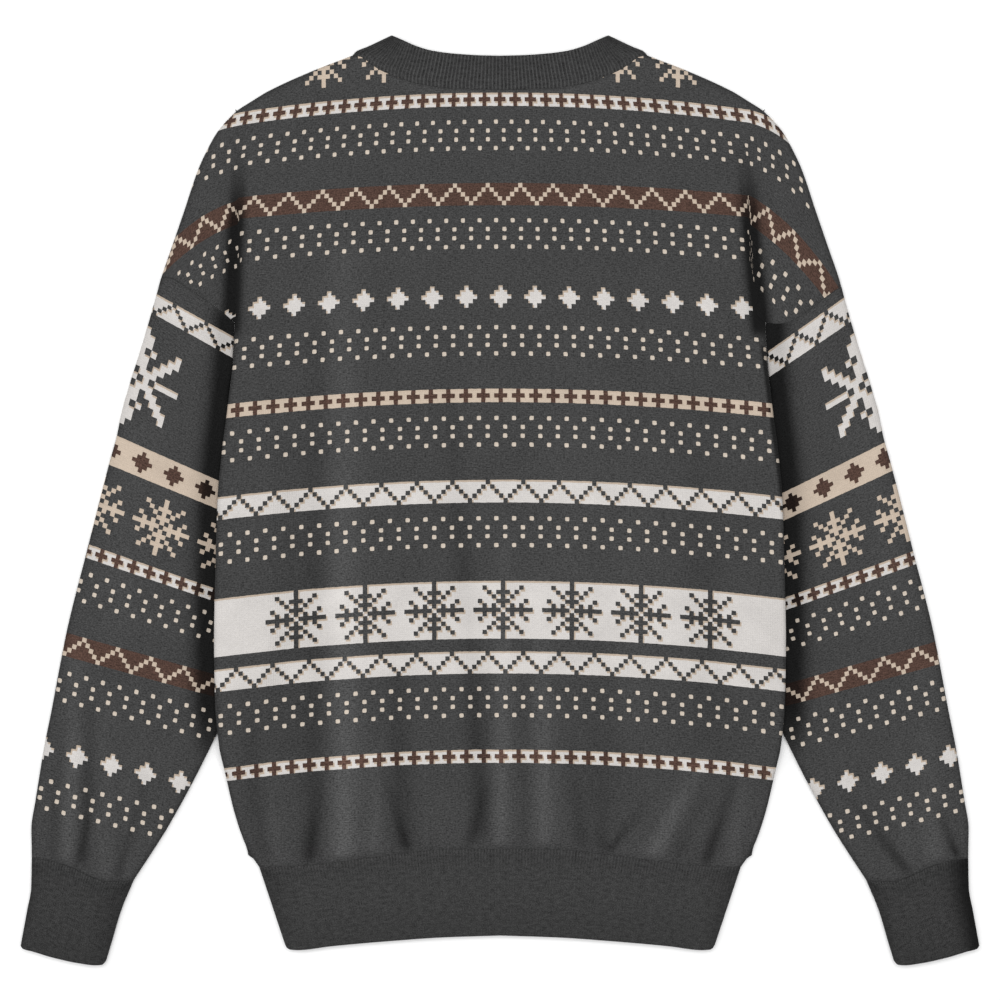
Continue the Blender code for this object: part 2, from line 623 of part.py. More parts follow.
def build_sleeve(side, back_wing, front_wing, collection):
    """One sleeve; returns the upper and the lower line that its cuff is sewn to."""
    name = "sleeve_right" if side > 0 else "sleeve_left"

    def edges(s):
        return sleeve_edges(s, side)

    first = shared_ends(moved_line(back_wing[-1], ARMHOLE_GAP),
                        moved_line(front_wing[-1], ARMHOLE_GAP), *edges(0.0))
    folded_edges = [np.array([edges(s)[k] for s in np.linspace(0, 1, 80)]) for k in (0, 1)]

    def relief(flat):
        seam = np.minimum(distance_to(flat, first[1]), distance_to(flat, CUFF_SEAM_LINE))
        edge = np.min([distance_to(flat, line) for line in folded_edges], axis=0)
        return sleeve_relief(flat[:, 0] * side, flat[:, 1], seam, edge)

    fades = (lambda s: float(ease(1 - s / SEAM_FADES[0])),
             lambda s: float(ease(1 - (1 - s) / SEAM_FADES[1])))
    stations = list(np.linspace(0, 1, SLEEVE_STATIONS))
    grids = flat_tube(first, {1: CUFF_SEAM_LINE, -1: CUFF_SEAM_LINE}, edges, fades,
                      stations, SLEEVE_COLUMNS, relief=relief)
    cloth_solid(name, flip(grids, side), CHARCOAL, collection)
    ring = grids[0][0][-1][:, :2]
    outer = SLEEVE_COLUMNS[0] + TOP_START + 1
    return ring[:outer + 1], ring[:outer - 1:-1]


def build_cuff(side, seam_lines, collection):
    name = "cuff_right" if side > 0 else "cuff_left"
    first = shared_ends(moved_line(seam_lines[0], SEAM_GAP), moved_line(seam_lines[1], SEAM_GAP),
                        toward(CUFF_SEAM[0], CUFF_ROWS[1][:2]),
                        toward(CUFF_SEAM[-1], CUFF_ROWS[1][2:]))
    end_line = along(CUFF_END, np.linspace(0, 1, 60))
    fades = (lambda s: (1 - s) ** 2, lambda s: s ** 2)
    grids = flat_tube(first, {1: end_line, -1: end_line}, cuff_edges, fades, CUFF_STATIONS,
                      (2 * CUFF_RIBS + 1, SLEEVE_COLUMNS[1]), ribbed=True)
    cloth_solid(name, flip(grids, side), RIB_CHARCOAL, collection)


def build_hem(back_row, front_row, collection):
    end_line = mirrored_line(HEM_END)
    first = shared_ends(moved_line(back_row, SEAM_GAP), moved_line(front_row, SEAM_GAP),
                        toward(back_row[0], end_line[0]), toward(back_row[-1], end_line[-1]))
    fades = (lambda s: 1 - s, lambda s: s)
    edges = straight_edges(first[1], end_line)
    grids = flat_tube(first, {1: end_line, -1: end_line}, edges, fades, (0.0, 1.0),
                      (2 * HEM_RIBS + 1, HEM_UNDERSIDE), ribbed=True)
    cloth_solid("hem_band", grids, RIB_CHARCOAL, collection)


def build_neck(back_row, front_row, collection):
    neck = [neck_part(row) for row in (back_row, front_row)]
    last = {1: mirrored_line(BACK_NECK_END), -1: mirrored_line(FRONT_NECK_END)}
    first = shared_ends(moved_line(neck[0], -SEAM_GAP), moved_line(neck[1], -SEAM_GAP),
                        toward(neck[0][0], last[1][0]), toward(neck[0][-1], last[1][-1]))

    def width(s, side):
        return line_length(first[side]) * (1 - s) + line_length(last[side]) * s

    fades = (lambda s: 1 - s, lambda s: s)
    edges = straight_edges(first[1], last[1])
    grids = flat_tube(first, last, edges, fades, (0.0, 1.0), (2 * NECK_RIBS + 1, NECK_UNDERSIDE),
                      ribbed=True, widths=width)
    cloth_solid("neck_rib", grids, RIB_CHARCOAL, collection)


def main():
    for item in list(bpy.data.objects):
        bpy.data.objects.remove(item, do_unlink=True)
    collection = bpy.data.collections.new(COLLECTION)
    bpy.context.scene.collection.children.link(collection)
    (back_body, back_wings), (front_body, front_wings) = build_panels(collection)
    build_hem(back_body[-1], front_body[-1], collection)
    build_neck(back_body[0], front_body[0], collection)
    for side in (-1, 1):
        seam_lines = build_sleeve(side, back_wings[side], front_wings[side], collection)
        build_cuff(side, seam_lines, collection)


main()
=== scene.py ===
"""A knitted christmas sweater laid flat with its back up: its cloth, yarns, stage and camera.

Sizes are millimetres until a mesh is made. X runs across the sweater, Y up from
the hem to the neck, Z up from the surface that it lies on. The cloth lies on
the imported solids' own form, knitted finer.
"""
import math

import bmesh
import bpy
import numpy as np
from bpy.props import FloatProperty, FloatVectorProperty, PointerProperty
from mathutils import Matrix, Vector


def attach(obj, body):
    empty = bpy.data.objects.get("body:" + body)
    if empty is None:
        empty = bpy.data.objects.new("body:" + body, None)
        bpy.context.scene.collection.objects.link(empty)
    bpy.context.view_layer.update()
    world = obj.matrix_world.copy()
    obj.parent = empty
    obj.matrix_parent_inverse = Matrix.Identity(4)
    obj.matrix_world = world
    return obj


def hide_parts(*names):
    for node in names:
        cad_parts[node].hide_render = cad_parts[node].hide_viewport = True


bl_info = {
    "name": "Christmas Sweater",
    "version": (1, 0, 0),
    "blender": (4, 5, 0),
    "location": "View3D > Sidebar > Sweater",
    "description": "Dresses a flat-laid christmas sweater in patterned knitting",
    "category": "Add Mesh",
}

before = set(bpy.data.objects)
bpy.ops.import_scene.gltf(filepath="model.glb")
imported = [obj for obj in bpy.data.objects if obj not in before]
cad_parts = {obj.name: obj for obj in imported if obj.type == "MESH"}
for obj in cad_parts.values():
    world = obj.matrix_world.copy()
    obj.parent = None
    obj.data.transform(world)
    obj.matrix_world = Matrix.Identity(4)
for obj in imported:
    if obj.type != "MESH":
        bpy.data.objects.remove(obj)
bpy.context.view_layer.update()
MM = 0.001
SIDES = (-1, "left"), (1, "right")

# ------------------------------------------------------------ the cloth's sizes
WALL = 2.0
LAYER_GAP = 1.0
HALF_HEIGHT = WALL + LAYER_GAP / 2     # half of two layers and the air in between
SEAM_GAP = 0.1                         # between two pieces that are sewn together
CORNER_GAP = 1.3 * SEAM_GAP            # and at the corners of a tube's seam
SIDE_SEAM_GAP = 0.2                    # between back and front where they meet
LIFT = 2 * HALF_HEIGHT + 0.5           # the body's side lies on the sleeve
RELIEF_LIMIT = 3.6                     # the highest that folds may stand
SEAM_DIP = 0.7                         # the cloth rolls down into a sewn seam, over about this distance, and its folds level out over this one, the share of their painted light and shade that stays there
SEAM_ROLL = 1.8                        # over about this distance,
SEAM_FADE = 7.0                        # and its folds level out over this one
FOLDS_AT_SEAM = 0.35                   # the share of their light that stays there
ARMHOLE_ROLL = 0.35                    # share of the roll at the flat-pressed armhole seams
FREE_END = 0.5                         # a free edge rolls down as if this far from a seam
NECK_RIDGE = 0.5                       # the neck seam's allowance lies under the cloth, this far from the seam and about this wide, and gets a painted highlight stronger than a fold of its height
RIDGE_PLACE, RIDGE_REACH = 3.6, 1.7    # this far from the seam and about this wide,
RIDGE_LIGHT = 1.6                      # and looks lighter than a fold of its height
WELD = 0.000001                        # points this near are one, in metres
SHARP_EDGE = math.radians(60)

# ------------------------------------------------- outlines, right half only
# Each row is a point: x from the middle, y.
SHOULDER = [(111.0, 334.1), (141.0, 322.5), (174.0, 307.5), (187.5, 299.3), (198.0, 292.5),
            (211.9, 277.5), (220.5, 262.5), (227.3, 247.5), (237.4, 217.5), (247.5, 188.0),
            (254.8, 166.9), (256.6, 160.4)]
WING_TOP = 4          # the row of SHOULDER where the wing's outer edge starts
WING_END = {-1: 11, 1: 12}    # and the row after it ends, on the left and the right
ARMPIT_Y = 133.5
# y, x of the fold down to the armpit, then of the body's side edge
SIDE = [(299.3, 187.5), (225.0, 196.5), (133.5, 199.5), (108.8, 200.3), (66.0, 204.8),
        (37.5, 208.5), (0.0, 211.9), (-45.0, 213.3), (-105.0, 214.5), (-150.0, 213.8),
        (-183.8, 210.8), (-202.5, 207.0), (-232.5, 200.3), (-262.5, 189.8), (-276.0, 181.0)]
HEM_SEAM = [(0.0, -262.0), (45.0, -262.8), (77.0, -266.0), (108.0, -270.0), (140.0, -274.0),
            (165.0, -275.6), (181.0, -276.0)]
HEM_END = [(0.0, -327.2), (42.0, -328.6), (84.0, -331.5), (126.0, -335.2), (152.0, -338.2),
           (158.8, -337.6), (161.7, -333.9)]
BACK_NECK_SEAM = [(111.0, 334.1), (104.8, 333.0), (97.0, 327.6), (90.5, 323.2), (75.8, 317.2),
                  (60.0, 312.4), (35.3, 309.3), (0.0, 308.3)]
FRONT_NECK_SEAM = [(111.0, 334.1), (108.8, 322.5), (93.8, 292.5), (67.5, 267.8), (37.5, 255.0),
                   (0.0, 249.8)]
BACK_NECK_END = [(81.7, 349.3), (73.5, 345.8), (62.3, 340.9), (50.3, 337.5), (35.3, 335.5),
                 (15.8, 334.2), (0.0, 333.8)]
FRONT_NECK_END = [(81.7, 349.3), (78.8, 330.0), (67.5, 303.8), (45.0, 285.0), (22.5, 277.5),
                  (0.0, 275.3)]
# The right sleeve is sewn on a little lower than the left one, as it lies.
ARMHOLES = {
    -1: [(199.5, 133.5), (210.0, 142.5), (217.5, 147.8), (231.0, 156.8), (242.3, 164.4),
         (249.6, 167.3), (254.8, 166.9)],
    1: [(199.5, 133.5), (207.0, 132.4), (214.6, 133.0), (221.0, 135.6), (233.0, 143.6),
        (245.6, 153.2), (252.5, 158.2), (256.6, 160.4)]}
CUFF_SEAM = [(275.3, -285.6), (283.5, -286.5), (295.5, -286.7), (308.3, -282.8),
             (321.8, -276.4), (336.8, -271.5), (352.1, -269.3)]
# Rows of knitting across the sleeve: inner edge x, y and outer edge x, y.
SLEEVE_ROWS = [(199.7, 132.9, 255.0, 166.4), (200.3, 116.0, 258.8, 152.3),
               (201.6, 96.0, 270.4, 112.5), (203.7, 77.0, 277.3, 91.0),
               (190.8, 40.0, 285.0, 63.8), (186.4, 2.3, 288.0, 48.8),
               (186.0, -16.5, 294.0, 27.0), (188.0, -84.0, 311.6, -42.0),
               (195.0, -141.8, 325.0, -95.0), (206.0, -162.0, 331.2, -126.0),
               (215.9, -182.0, 337.0, -157.0), (230.6, -211.3, 342.8, -186.0),
               (249.9, -246.2, 349.3, -226.0), (262.2, -265.9, 352.7, -248.0),
               (274.8, -285.2, 352.6, -268.9)]
RIGHT_SLEEVE_TOP = (199.7, 132.9, 256.9, 159.9)     # its own first row
CUFF_ROWS = [(275.3, -285.6, 352.1, -269.3), (285.0, -309.0, 352.6, -292.0),
             (291.5, -331.0, 355.5, -308.0), (296.2, -346.5, 360.4, -334.8)]
CUFF_END = [(296.2, -346.5), (299.0, -349.2), (304.0, -349.6), (317.6, -347.9),
            (336.8, -343.6), (351.0, -339.3), (358.5, -337.2), (360.4, -334.8)]

# ---------------------------------------------------------------- the folds
# Soft folds of the back: x, y at one end, x, y at the other, half width, height.
BACK_FOLDS = [
    (-118.0, 180.0, -116.0, -270.0, 12.5, 1.9),
    (-117.0, -190.0, -118.5, -272.0, 5.0, 1.0),
    (-92.0, -200.0, -94.5, -272.0, 4.5, 1.2),
    (-137.0, 120.0, -140.0, -262.0, 10.0, -1.2),
    (-136.0, -222.0, -145.0, -276.0, 4.5, -1.8),
    (-78.0, -100.0, -72.0, -262.0, 9.0, -1.3),
    (-81.0, -226.0, -66.0, -274.0, 3.6, -1.9),
    (-36.0, 55.0, -26.0, -75.0, 8.0, -1.0),
    (-24.0, -75.0, -14.0, -240.0, 7.5, -1.6),
    (-14.0, -228.0, -26.0, -268.0, 4.5, -1.7),
    (4.0, -40.0, 0.0, -272.0, 6.5, 1.9),
    (31.0, -75.0, 34.0, -272.0, 7.5, 1.7),
    (17.5, -110.0, 18.0, -270.0, 3.5, -0.6),
    (54.0, -190.0, 62.0, -268.0, 6.0, -1.0),
    (78.0, -100.0, 76.0, -256.0, 15.0, -0.7),
    (99.0, -242.0, 79.0, -267.0, 2.6, -2.2),
    (77.0, -244.0, 76.0, -268.0, 3.6, -1.1),
    (92.0, -262.0, 99.0, -270.0, 5.0, 0.9),
    (150.0, -200.0, 113.0, -270.0, 6.5, 2.2),
    (146.0, -236.0, 132.0, -272.0, 6.5, -0.9),
    (172.0, -222.0, 154.0, -274.0, 4.6, -2.4),
    (182.0, -215.0, 176.0, -262.0, 5.0, 0.8),
    (-178.0, -205.0, -166.0, -268.0, 5.5, 0.7),
    (-190.0, -140.0, -180.0, -256.0, 10.0, -0.9),
    (-150.0, 30.0, -160.0, -180.0, 16.0, -0.5),
    (110.0, 40.0, 96.0, -160.0, 18.0, 0.5),
    (60.0, 120.0, 52.0, -60.0, 22.0, 0.4),
    (150.0, 60.0, 158.0, -190.0, 14.0, -0.6),
]
SLEEVE_FOLDS = [
    (-318.0, -115.0, -324.0, -272.0, 6.0, 1.7),
    (-308.0, -170.0, -312.0, -262.0, 4.0, -1.6),
    (-311.0, -246.0, -320.0, -279.0, 3.6, -1.6),
    (-331.0, -190.0, -336.0, -268.0, 5.0, -0.8),
    (-296.0, -170.0, -296.0, -282.0, 6.0, 0.7),
    (-270.0, -222.0, -288.0, -288.0, 4.2, -1.6),
    (-276.0, -200.0, -281.0, -280.0, 5.0, 0.6),
    (-262.0, 60.0, -290.0, -90.0, 16.0, 0.5),
    (318.0, -140.0, 326.0, -268.0, 9.0, 0.9),
    (276.0, -240.0, 310.0, -284.0, 4.0, -2.0),
    (335.0, -247.0, 346.5, -276.0, 3.3, -3.0),
    (318.0, -236.0, 329.0, -276.0, 6.5, 0.6),
    (298.0, -195.0, 306.0, -262.0, 6.0, 0.6),
    (262.0, 70.0, 300.0, -80.0, 16.0, 0.5),
]
# The painted shadow of the dark fold above each armpit and under the body's side: y,
# the middle of the shadow, its half width.
FOLD_SHADOWS = {-1: [(112.0, 204.0, 9.0), (150.0, 201.0, 8.5), (187.0, 199.5, 8.0),
                     (225.0, 197.0, 7.0), (262.0, 196.0, 5.0)],
                1: [(112.0, 198.0, 9.0), (150.0, 193.5, 8.5), (187.0, 189.5, 8.0),
                    (225.0, 186.5, 7.5), (262.0, 183.5, 6.0)]}
# Painted shadow where the right side's cloth turns down early, which the form doesn't do: y, x
# where it starts.
TURN_SHADOW_LINE = [(-40.0, 211.5), (4.0, 208.2), (28.0, 205.3), (47.0, 202.6), (72.0, 199.2),
               (100.0, 196.0), (122.0, 193.0)]
TURN_SHADOW_TOP, TURN_SHADOW_FOOT = (122.0, 110.0), (-40.0, 0.0)     # y where it starts and is whole
TURN_SHADOW_RAMP = 2.5       # mm over which the painted shadow deepens
TURN_SHADOW_DEPTH = 0.9    # how dark the painted shadow is there
FOLD_START = 0.45     # share of its height that a soft fold has at its first end
FOLD_DEEPENS = 1.4    # how soon it reaches all of it
FOLD_RUN_OUT = 18.0   # mm past its ends in which it levels out
BACK_MARGIN, SLEEVE_MARGIN = 9.0, 8.0     # mm beside an edge in which folds level out
# Height of the cloth's crown, and the mm from its edge over which it rises.
BACK_CROWN = (1.3, 40.0)
SLEEVE_CROWN = (1.2, 22.0)
WING_CROWN = (1.3, 22.0)
WING_EDGE = 14.0      # and over these it falls again to the wing's outer edge
# The body's cloth stands up beside the fold above the armpit: the ridge's height, how
# far from the fold it is whole and how far it reaches.
FOLD_RIDGE, RIDGE_START, RIDGE_FADE = 2.4, 5.0, 16.0
# y where that fold starts and where it is whole, from above and from below.
DEEP_TOP = (272.0, 202.0)
DEEP_FOOT = (60.0, 130.0)
WING_FOOT = ARMPIT_Y - 10.0     # and above this y, what lies past the fold is the wing
# The same for the fold's painted shadow, which is weak over its first part.
SHADOW_TOP = (290.0, 220.0)
SHADOW_DEEPENS = (265.0, 205.0)
SHADOW_FOOT = (ARMPIT_Y - 18.0, ARMPIT_Y - 4.0)
WEAK_SHADOW = 0.3
SHADOW_CORE = 0.45    # share of its half width that is all dark
SHADOW_EDGE = 1.8     # how abrupt it is
# The body's painted shadow on the sleeve: y from above and below, then the mm that are
# all dark, the mm over which it fades and how abrupt it is.
UNDER_TOP = (ARMPIT_Y + 30.0, ARMPIT_Y)
UNDER_FOOT = (-230.0, -155.0)
UNDER_SHADE = (9.5, 8.0, 1.7)
# mm out from the body's edge where the sleeve's relief starts and where it is whole,
# and the y down to which the body lies on it.
UNCOVERED = (3.0, 19.0)
COVERED_TO = -215.0
# Painted shadows at the cloth's rounded edges and its sewn seams: how dark, how wide.
EDGE_SHADE = (0.45, 2.5)
PANEL_SEAM_SHADE = (0.2, 0.9)
ARMHOLE_SHADE, CUFF_SEAM_SHADE, SLEEVE_SEAM_REACH = 0.3, 0.5, 0.9
RIB_SEAM_SHADE = (0.3, 1.0)
RIB_END_SHADE = (0.4, 0.9)
RIB_TOWARD_END_SHADE = (0.14, 40.0)     # painted shade, darker towards the ribbing's free end: how dark, over how many mm

# ------------------------------------------------------------- mesh stations
ROUND = (0.0, 0.06, 0.2, 0.45, 1.0)       # the rounded edge, in fractions of its radius
FINE_TO, SIDE_TO = 15.7, 58.0             # where the finest and the fine columns end, from the side
FINE_SIDE = [*np.linspace(HALF_HEIGHT, FINE_TO, 12)[1:], *np.linspace(FINE_TO, SIDE_TO, 14)[1:]]
# A column meets the shoulder end of the neck seam.
NECK_COLUMN = SHOULDER[0][0] / (SIDE[0][1] - SIDE_TO)
MIDDLE_STEPS = np.concatenate([np.linspace(1.0, NECK_COLUMN, 6)[1:],
                               np.linspace(NECK_COLUMN, 0.0, 34)[1:]])
NEAR_SEAM = np.array([3.0, 1.7, 0.8, 0.0])    # rows of mesh close to a sewn seam,
SEAM_BAND = 6.4                               # and where the even rows end
ROWS_TO_ARMPIT = np.concatenate([
    np.linspace(SIDE[0][0] - HALF_HEIGHT, ARMPIT_Y + SEAM_BAND, 48)[1:], ARMPIT_Y + NEAR_SEAM])
BODY_ROWS = np.concatenate([ROWS_TO_ARMPIT,
                            np.linspace(ARMPIT_Y, SIDE[-1][0] + SEAM_BAND, 119)[1:],
                            SIDE[-1][0] + NEAR_SEAM])
WING_STEPS = 17
BOWED_ROWS = 16               # rows above the armhole seam that bend to follow it
SLEEVE_STATIONS = np.concatenate([[0.0, 0.0018, 0.004, 0.0075], np.linspace(0.0145, 0.9855, 126),
                                  [0.9925, 0.996, 0.9982, 1.0]])
SLEEVE_COLUMNS = 33, 28       # over and under
SLEEVE_OUTER = 2 * len(ROUND) - 2 + SLEEVE_COLUMNS[0]     # columns on the upper layer
ON_FLAT = 0.999               # height past which a tube's point isn't in its round edges
# Shares of a sleeve's length over which it follows the lines at its two ends.
AT_ARMHOLE, AT_CUFF = 0.12, 0.1
LIFT_TOP = (124.0, 76.0)      # y where the side starts to rise and is all up
LIFT_FOOT = (-226.0, -184.0)
LIFT_MARGIN = 13.0            # how far in from the sleeve's inner edge it is all up
LIFT_RAMP = 24.0              # and over how many mm it rises

RIB_STATIONS = (0.0, 0.015, 0.035, 0.07, 0.14, 0.24, 0.36, 0.5, 0.64, 0.78, 0.9, 0.955, 0.98, 1.0)
NECK_RIBS = 79, 92            # over the back and the front
HEM_RIBS = 150, 150
CUFF_RIBS = 35, 35
RIB_STEPS = 6                 # mesh columns to a rib
RIB_POWER = 1.5               # how narrow a crest is against its groove
# The ribs rise beside the seam and sink beside the free end, over this many mm. This
# share of them is left at the free end, and where they are drawn flat.
RIB_START, RIB_END = 2.5, 1.5
LEFT_AT_END, LEFT_FLAT = 0.35, 0.22
FLATTENING = 0.8              # share of their way over which they are drawn flat
# The ribs run square to the neck seam: share along it, share along the free edge.
NECK_FAN = [(0.0, 0.0), (0.012, 0.009), (0.07, 0.026), (0.13, 0.056), (0.18, 0.1), (0.34, 0.299),
            (0.5, 0.5), (0.66, 0.701), (0.82, 0.9), (0.87, 0.944), (0.93, 0.974), (0.988, 0.991),
            (1.0, 1.0)]
CORNER_REACH = 26.0           # the painted light and shade of the collar's ribs is less near its two corners, by this share, where their contrast is above this
CORNER_LESS = 0.5             # by this share,
BOLD_RIBS = 0.5               # where their contrast is above this
MIDDLE_TONE = 0.26            # height of a rib at which it has neither painted light nor painted shade
# How much lighter a crest is painted beside its seam, a painted highlight, less where ribs are bold
# anyway.
SEAM_HIGHLIGHT, BOLD_HIGHLIGHT_LESS, SEAM_HIGHLIGHT_REACH = 0.5, 0.3, 1.6
# The folded edge between the back's and the front's collar bows out: share, mm.
NECK_BOW = [(0.0, 0.0), (0.13, 1.6), (0.4, 0.7), (1.0, 0.0)]
# How much lighter or darker this ribbing is made, how much lighter a crest is painted than
# its groove (painted light and shade), how far from the seam the ribs are drawn flat, and at
# the two sides how wide, how dark and how abrupt the painted shadow of the turned cloth is.
NECK_LOOK = (0.14, 1.0, 90.0, ((6.0, 0.35, 1.6), (6.0, 0.35, 1.6)))
HEM_LOOK = (0.05, 0.3, 19.0, ((12.0, 0.35, 1.6), (12.0, 0.4, 1.6)))
CUFF_LOOKS = {-1: (-0.04, 0.3, 16.0, ((14.0, 0.4, 1.6), (5.0, 0.45, 1.6))),
              1: (-0.04, 0.3, 16.0, ((6.0, 0.45, 1.6), (13.0, 0.98, 2.2)))}

DOWN_SPAN = 640.0             # mm of cloth that the tables of bands reach over
ALL_ACROSS = 128.0            # more squares than there are from the middle to a side
ROUND_MOTIFS = ("dots",)      # figures of single squares, whose corners are rounded

# ------------------------------------------------------------------ the chart
# Each band of knitting: its top edge (mm down the cloth), height of a row of
# squares, rows, squares across a repeat, where the repeat's middle falls (squares),
# width of a square against the cloth's own, motif, yarn of ground and of figure,
# and how many squares either way of the middle hold figures, where not all do.
CHARCOAL, WHITE, BEIGE, CREAM, BROWN = 0, 1, 2, 3, 4
YARNS = 8                      # room for yarns in the tables of the shader
MOTIFS = {
    "dots": ("...#...",
             ".......",
             ".#...#.",
             ".......",
             ".#...#.",
             ".......",
             "...#..."),
    "chain": (".#.",
              "###",
              ".#."),
    "zigzag": ("....#....",
               "...#.#...",
               "..#...#..",
               ".#.....#.",
               "#.......#"),
    "diamond": (".....",
                "..#..",
                ".###.",
                "#####",
                ".###.",
                "..#..",
                "....."),
    "snowflake": ("......#......",
                  "..#...#...#..",
                  "...#.###.#...",
                  "....#.#.#....",
                  ".#...###...#.",
                  "..#.#.#.#.#..",
                  "######.######",
                  "..#.#.#.#.#..",
                  ".#...###...#.",
                  "....#.#.#....",
                  "...#.###.#...",
                  "..#...#...#..",
                  "......#......"),
    "star": (".......#.......",
             "......###......",
             ".#....###....#.",
             ".##..#.#.#..##.",
             "..##..###..##..",
             "...##.###.##...",
             "....###.###....",
             "####.#.#.#.####",
             "....###.###....",
             "...##.###.##...",
             "..##..###..##..",
             ".##..#.#.#..##.",
             ".#....###....#.",
             "......###......",
             ".......#......."),
}
BODY_BANDS = [
    # top, row, rows, repeat, middle, width, motif, ground, figure
    (15.8, 3.3, 13, 15, 0.2, 1.015, "snowflake", CHARCOAL, BEIGE, 52.0),
    (69.1, 3.34, 3, 4, -0.07, 1.0, "chain", WHITE, BROWN),
    (89.3, 3.3, 7, 4, 2.94, 1.0, "dots", CHARCOAL, CREAM),
    (137.0, 3.34, 5, 8, 4.97, 1.0, "zigzag", BROWN, BEIGE),
    (163.3, 3.3, 7, 4, 3.05, 1.0, "dots", CHARCOAL, CREAM),
    (214.0, 3.3, 5, 8, 0.14, 1.0, "diamond", CHARCOAL, WHITE),
    (243.6, 3.29, 7, 4, 3.13, 1.0, "dots", CHARCOAL, CREAM),
    (291.4, 3.38, 3, 4, 0.17, 0.9945, "chain", BEIGE, BROWN),
    (311.7, 3.32, 7, 4, 3.19, 1.0, "dots", CHARCOAL, CREAM),
    (359.8, 3.4, 5, 8, 5.26, 1.006, "zigzag", WHITE, CHARCOAL),
    (387.0, 3.35, 7, 4, 3.17, 1.0, "dots", CHARCOAL, CREAM),
    (435.7, 3.33, 13, 15, 0.66, 1.039, "snowflake", WHITE, CHARCOAL, 52.0),
    (488.5, 3.33, 5, 8, 5.21, 1.01, "zigzag", WHITE, CHARCOAL),
    (515.0, 3.29, 7, 4, 3.25, 1.0, "dots", CHARCOAL, CREAM),
    (562.3, 3.3, 3, 4, 0.27, 0.99, "chain", WHITE, BROWN),
]
SLEEVE_BANDS = {-1: [
    (12.0, 2.88, 5, 8, 4.74, 1.05, "zigzag", WHITE, CHARCOAL),
    (36.7, 5.05, 15, 26, 0.3, 1.5, "star", CHARCOAL, WHITE, 8.0),
    (122.5, 3.22, 7, 8, -0.45, 0.99, "diamond", BEIGE, BROWN),
    (153.8, 3.4, 13, 15, -0.4, 1.062, "snowflake", CHARCOAL, BEIGE),
    (206.9, 3.38, 3, 4, -0.28, 0.98, "chain", WHITE, BROWN),
    (226.7, 3.4, 7, 4, 2.48, 0.985, "dots", CHARCOAL, CREAM),
    (275.4, 3.42, 5, 8, 4.6, 1.0, "zigzag", BROWN, BEIGE),
    (303.0, 3.4, 7, 4, 2.7, 1.0, "dots", CHARCOAL, CREAM),
    (355.2, 3.42, 5, 8, -0.08, 1.015, "diamond", CHARCOAL, WHITE),
    (385.2, 3.42, 7, 4, 2.95, 1.022, "dots", CHARCOAL, CREAM),
], 1: [
    (14.6, 3.75, 5, 8, 5.13, 1.05, "zigzag", WHITE, CHARCOAL),
    (42.2, 5.1, 15, 26, 0.4, 1.5, "star", CHARCOAL, WHITE, 8.0),
    (127.7, 3.16, 7, 8, 1.1, 0.99, "diamond", BEIGE, BROWN),
    (159.8, 3.4, 13, 15, 0.48, 1.065, "snowflake", CHARCOAL, BEIGE),
    (212.2, 3.3, 3, 4, 1.35, 0.983, "chain", WHITE, BROWN),
    (231.9, 3.4, 7, 4, 2.59, 0.985, "dots", CHARCOAL, CREAM),
    (282.3, 3.42, 5, 8, 4.75, 1.0, "zigzag", BROWN, BEIGE),
    (310.0, 3.4, 7, 4, 2.7, 1.0, "dots", CHARCOAL, CREAM),
    (360.0, 3.3, 5, 8, 1.8, 1.01, "diamond", CHARCOAL, WHITE),
    (388.6, 3.25, 7, 4, 2.55, 1.03, "dots", CHARCOAL, CREAM),
]}
CLOTH_TOP = 375.0             # y from which the mm down the body's cloth are counted
# mm down the cloth, width of a square there, growth towards the sides
BODY_WIDTHS = [(70.0, 2.86, 0.03), (90.0, 2.94, 0.026), (111.0, 2.99, 0.024),
               (145.0, 3.075, 0.018), (165.0, 3.11, 0.021), (185.0, 3.14, 0.019),
               (223.0, 3.216, 0.007), (255.0, 3.234, 0.008), (297.0, 3.3, 0.002),
               (324.0, 3.29, 0.002), (398.0, 3.328, 0.0), (526.0, 3.3, 0.009),
               (600.0, 3.3, 0.0)]
SQUARES_TO_SIDE = 60.0        # where that growth is meant
# Each way over the fold above the armpit: y, a row's fall for each mm out and mm squared,
# how much narrower the squares look, the mm of cloth that the fold takes in across and
# the mm that the rows drop over it.
WING_ROWS = {
    -1: [(152.0, 0.3, 6.0e-3, 1.17, 0.0, 5.0), (180.0, 0.31, 6.0e-3, 1.58, 8.1, 3.3),
         (186.5, 0.31, 6.0e-3, 1.52, 5.4, 3.3), (193.0, 0.29, 6.0e-3, 1.5, 2.6, 3.4),
         (199.5, 0.29, 6.0e-3, 1.46, 0.3, 3.2), (212.5, 0.29, 6.0e-3, 1.34, 9.5, 3.6),
         (226.0, 0.27, 6.0e-3, 1.35, 4.2, 2.2), (254.0, 0.22, 4.4e-3, 1.2, 1.2, 1.7),
         (261.0, 0.205, 4.0e-3, 1.16, 0.6, 0.9), (277.5, 0.17, 2.7e-3, 1.1, 0.0, 0.0)],
    1: [(181.2, 0.98, 2.5e-3, 1.6, 42.2, 15.2), (187.8, 0.92, 2.5e-3, 1.54, 38.5, 12.9),
        (194.5, 0.84, 3.6e-3, 1.5, 34.3, 10.8), (201.1, 0.76, 5.4e-3, 1.49, 28.8, 7.9),
        (213.9, 0.61, 7.2e-3, 1.49, 16.9, 4.5), (227.0, 0.5, 8.5e-3, 1.41, 9.1, -0.8),
        (253.9, 0.29, 9.2e-3, 1.27, 3.9, 0.3), (260.1, 0.29, 9.0e-3, 1.27, 2.3, 0.0),
        (266.2, 0.27, 8.6e-3, 1.27, 1.4, 0.0), (277.5, 0.23, 8.2e-3, 1.25, 0.2, 0.0)]}
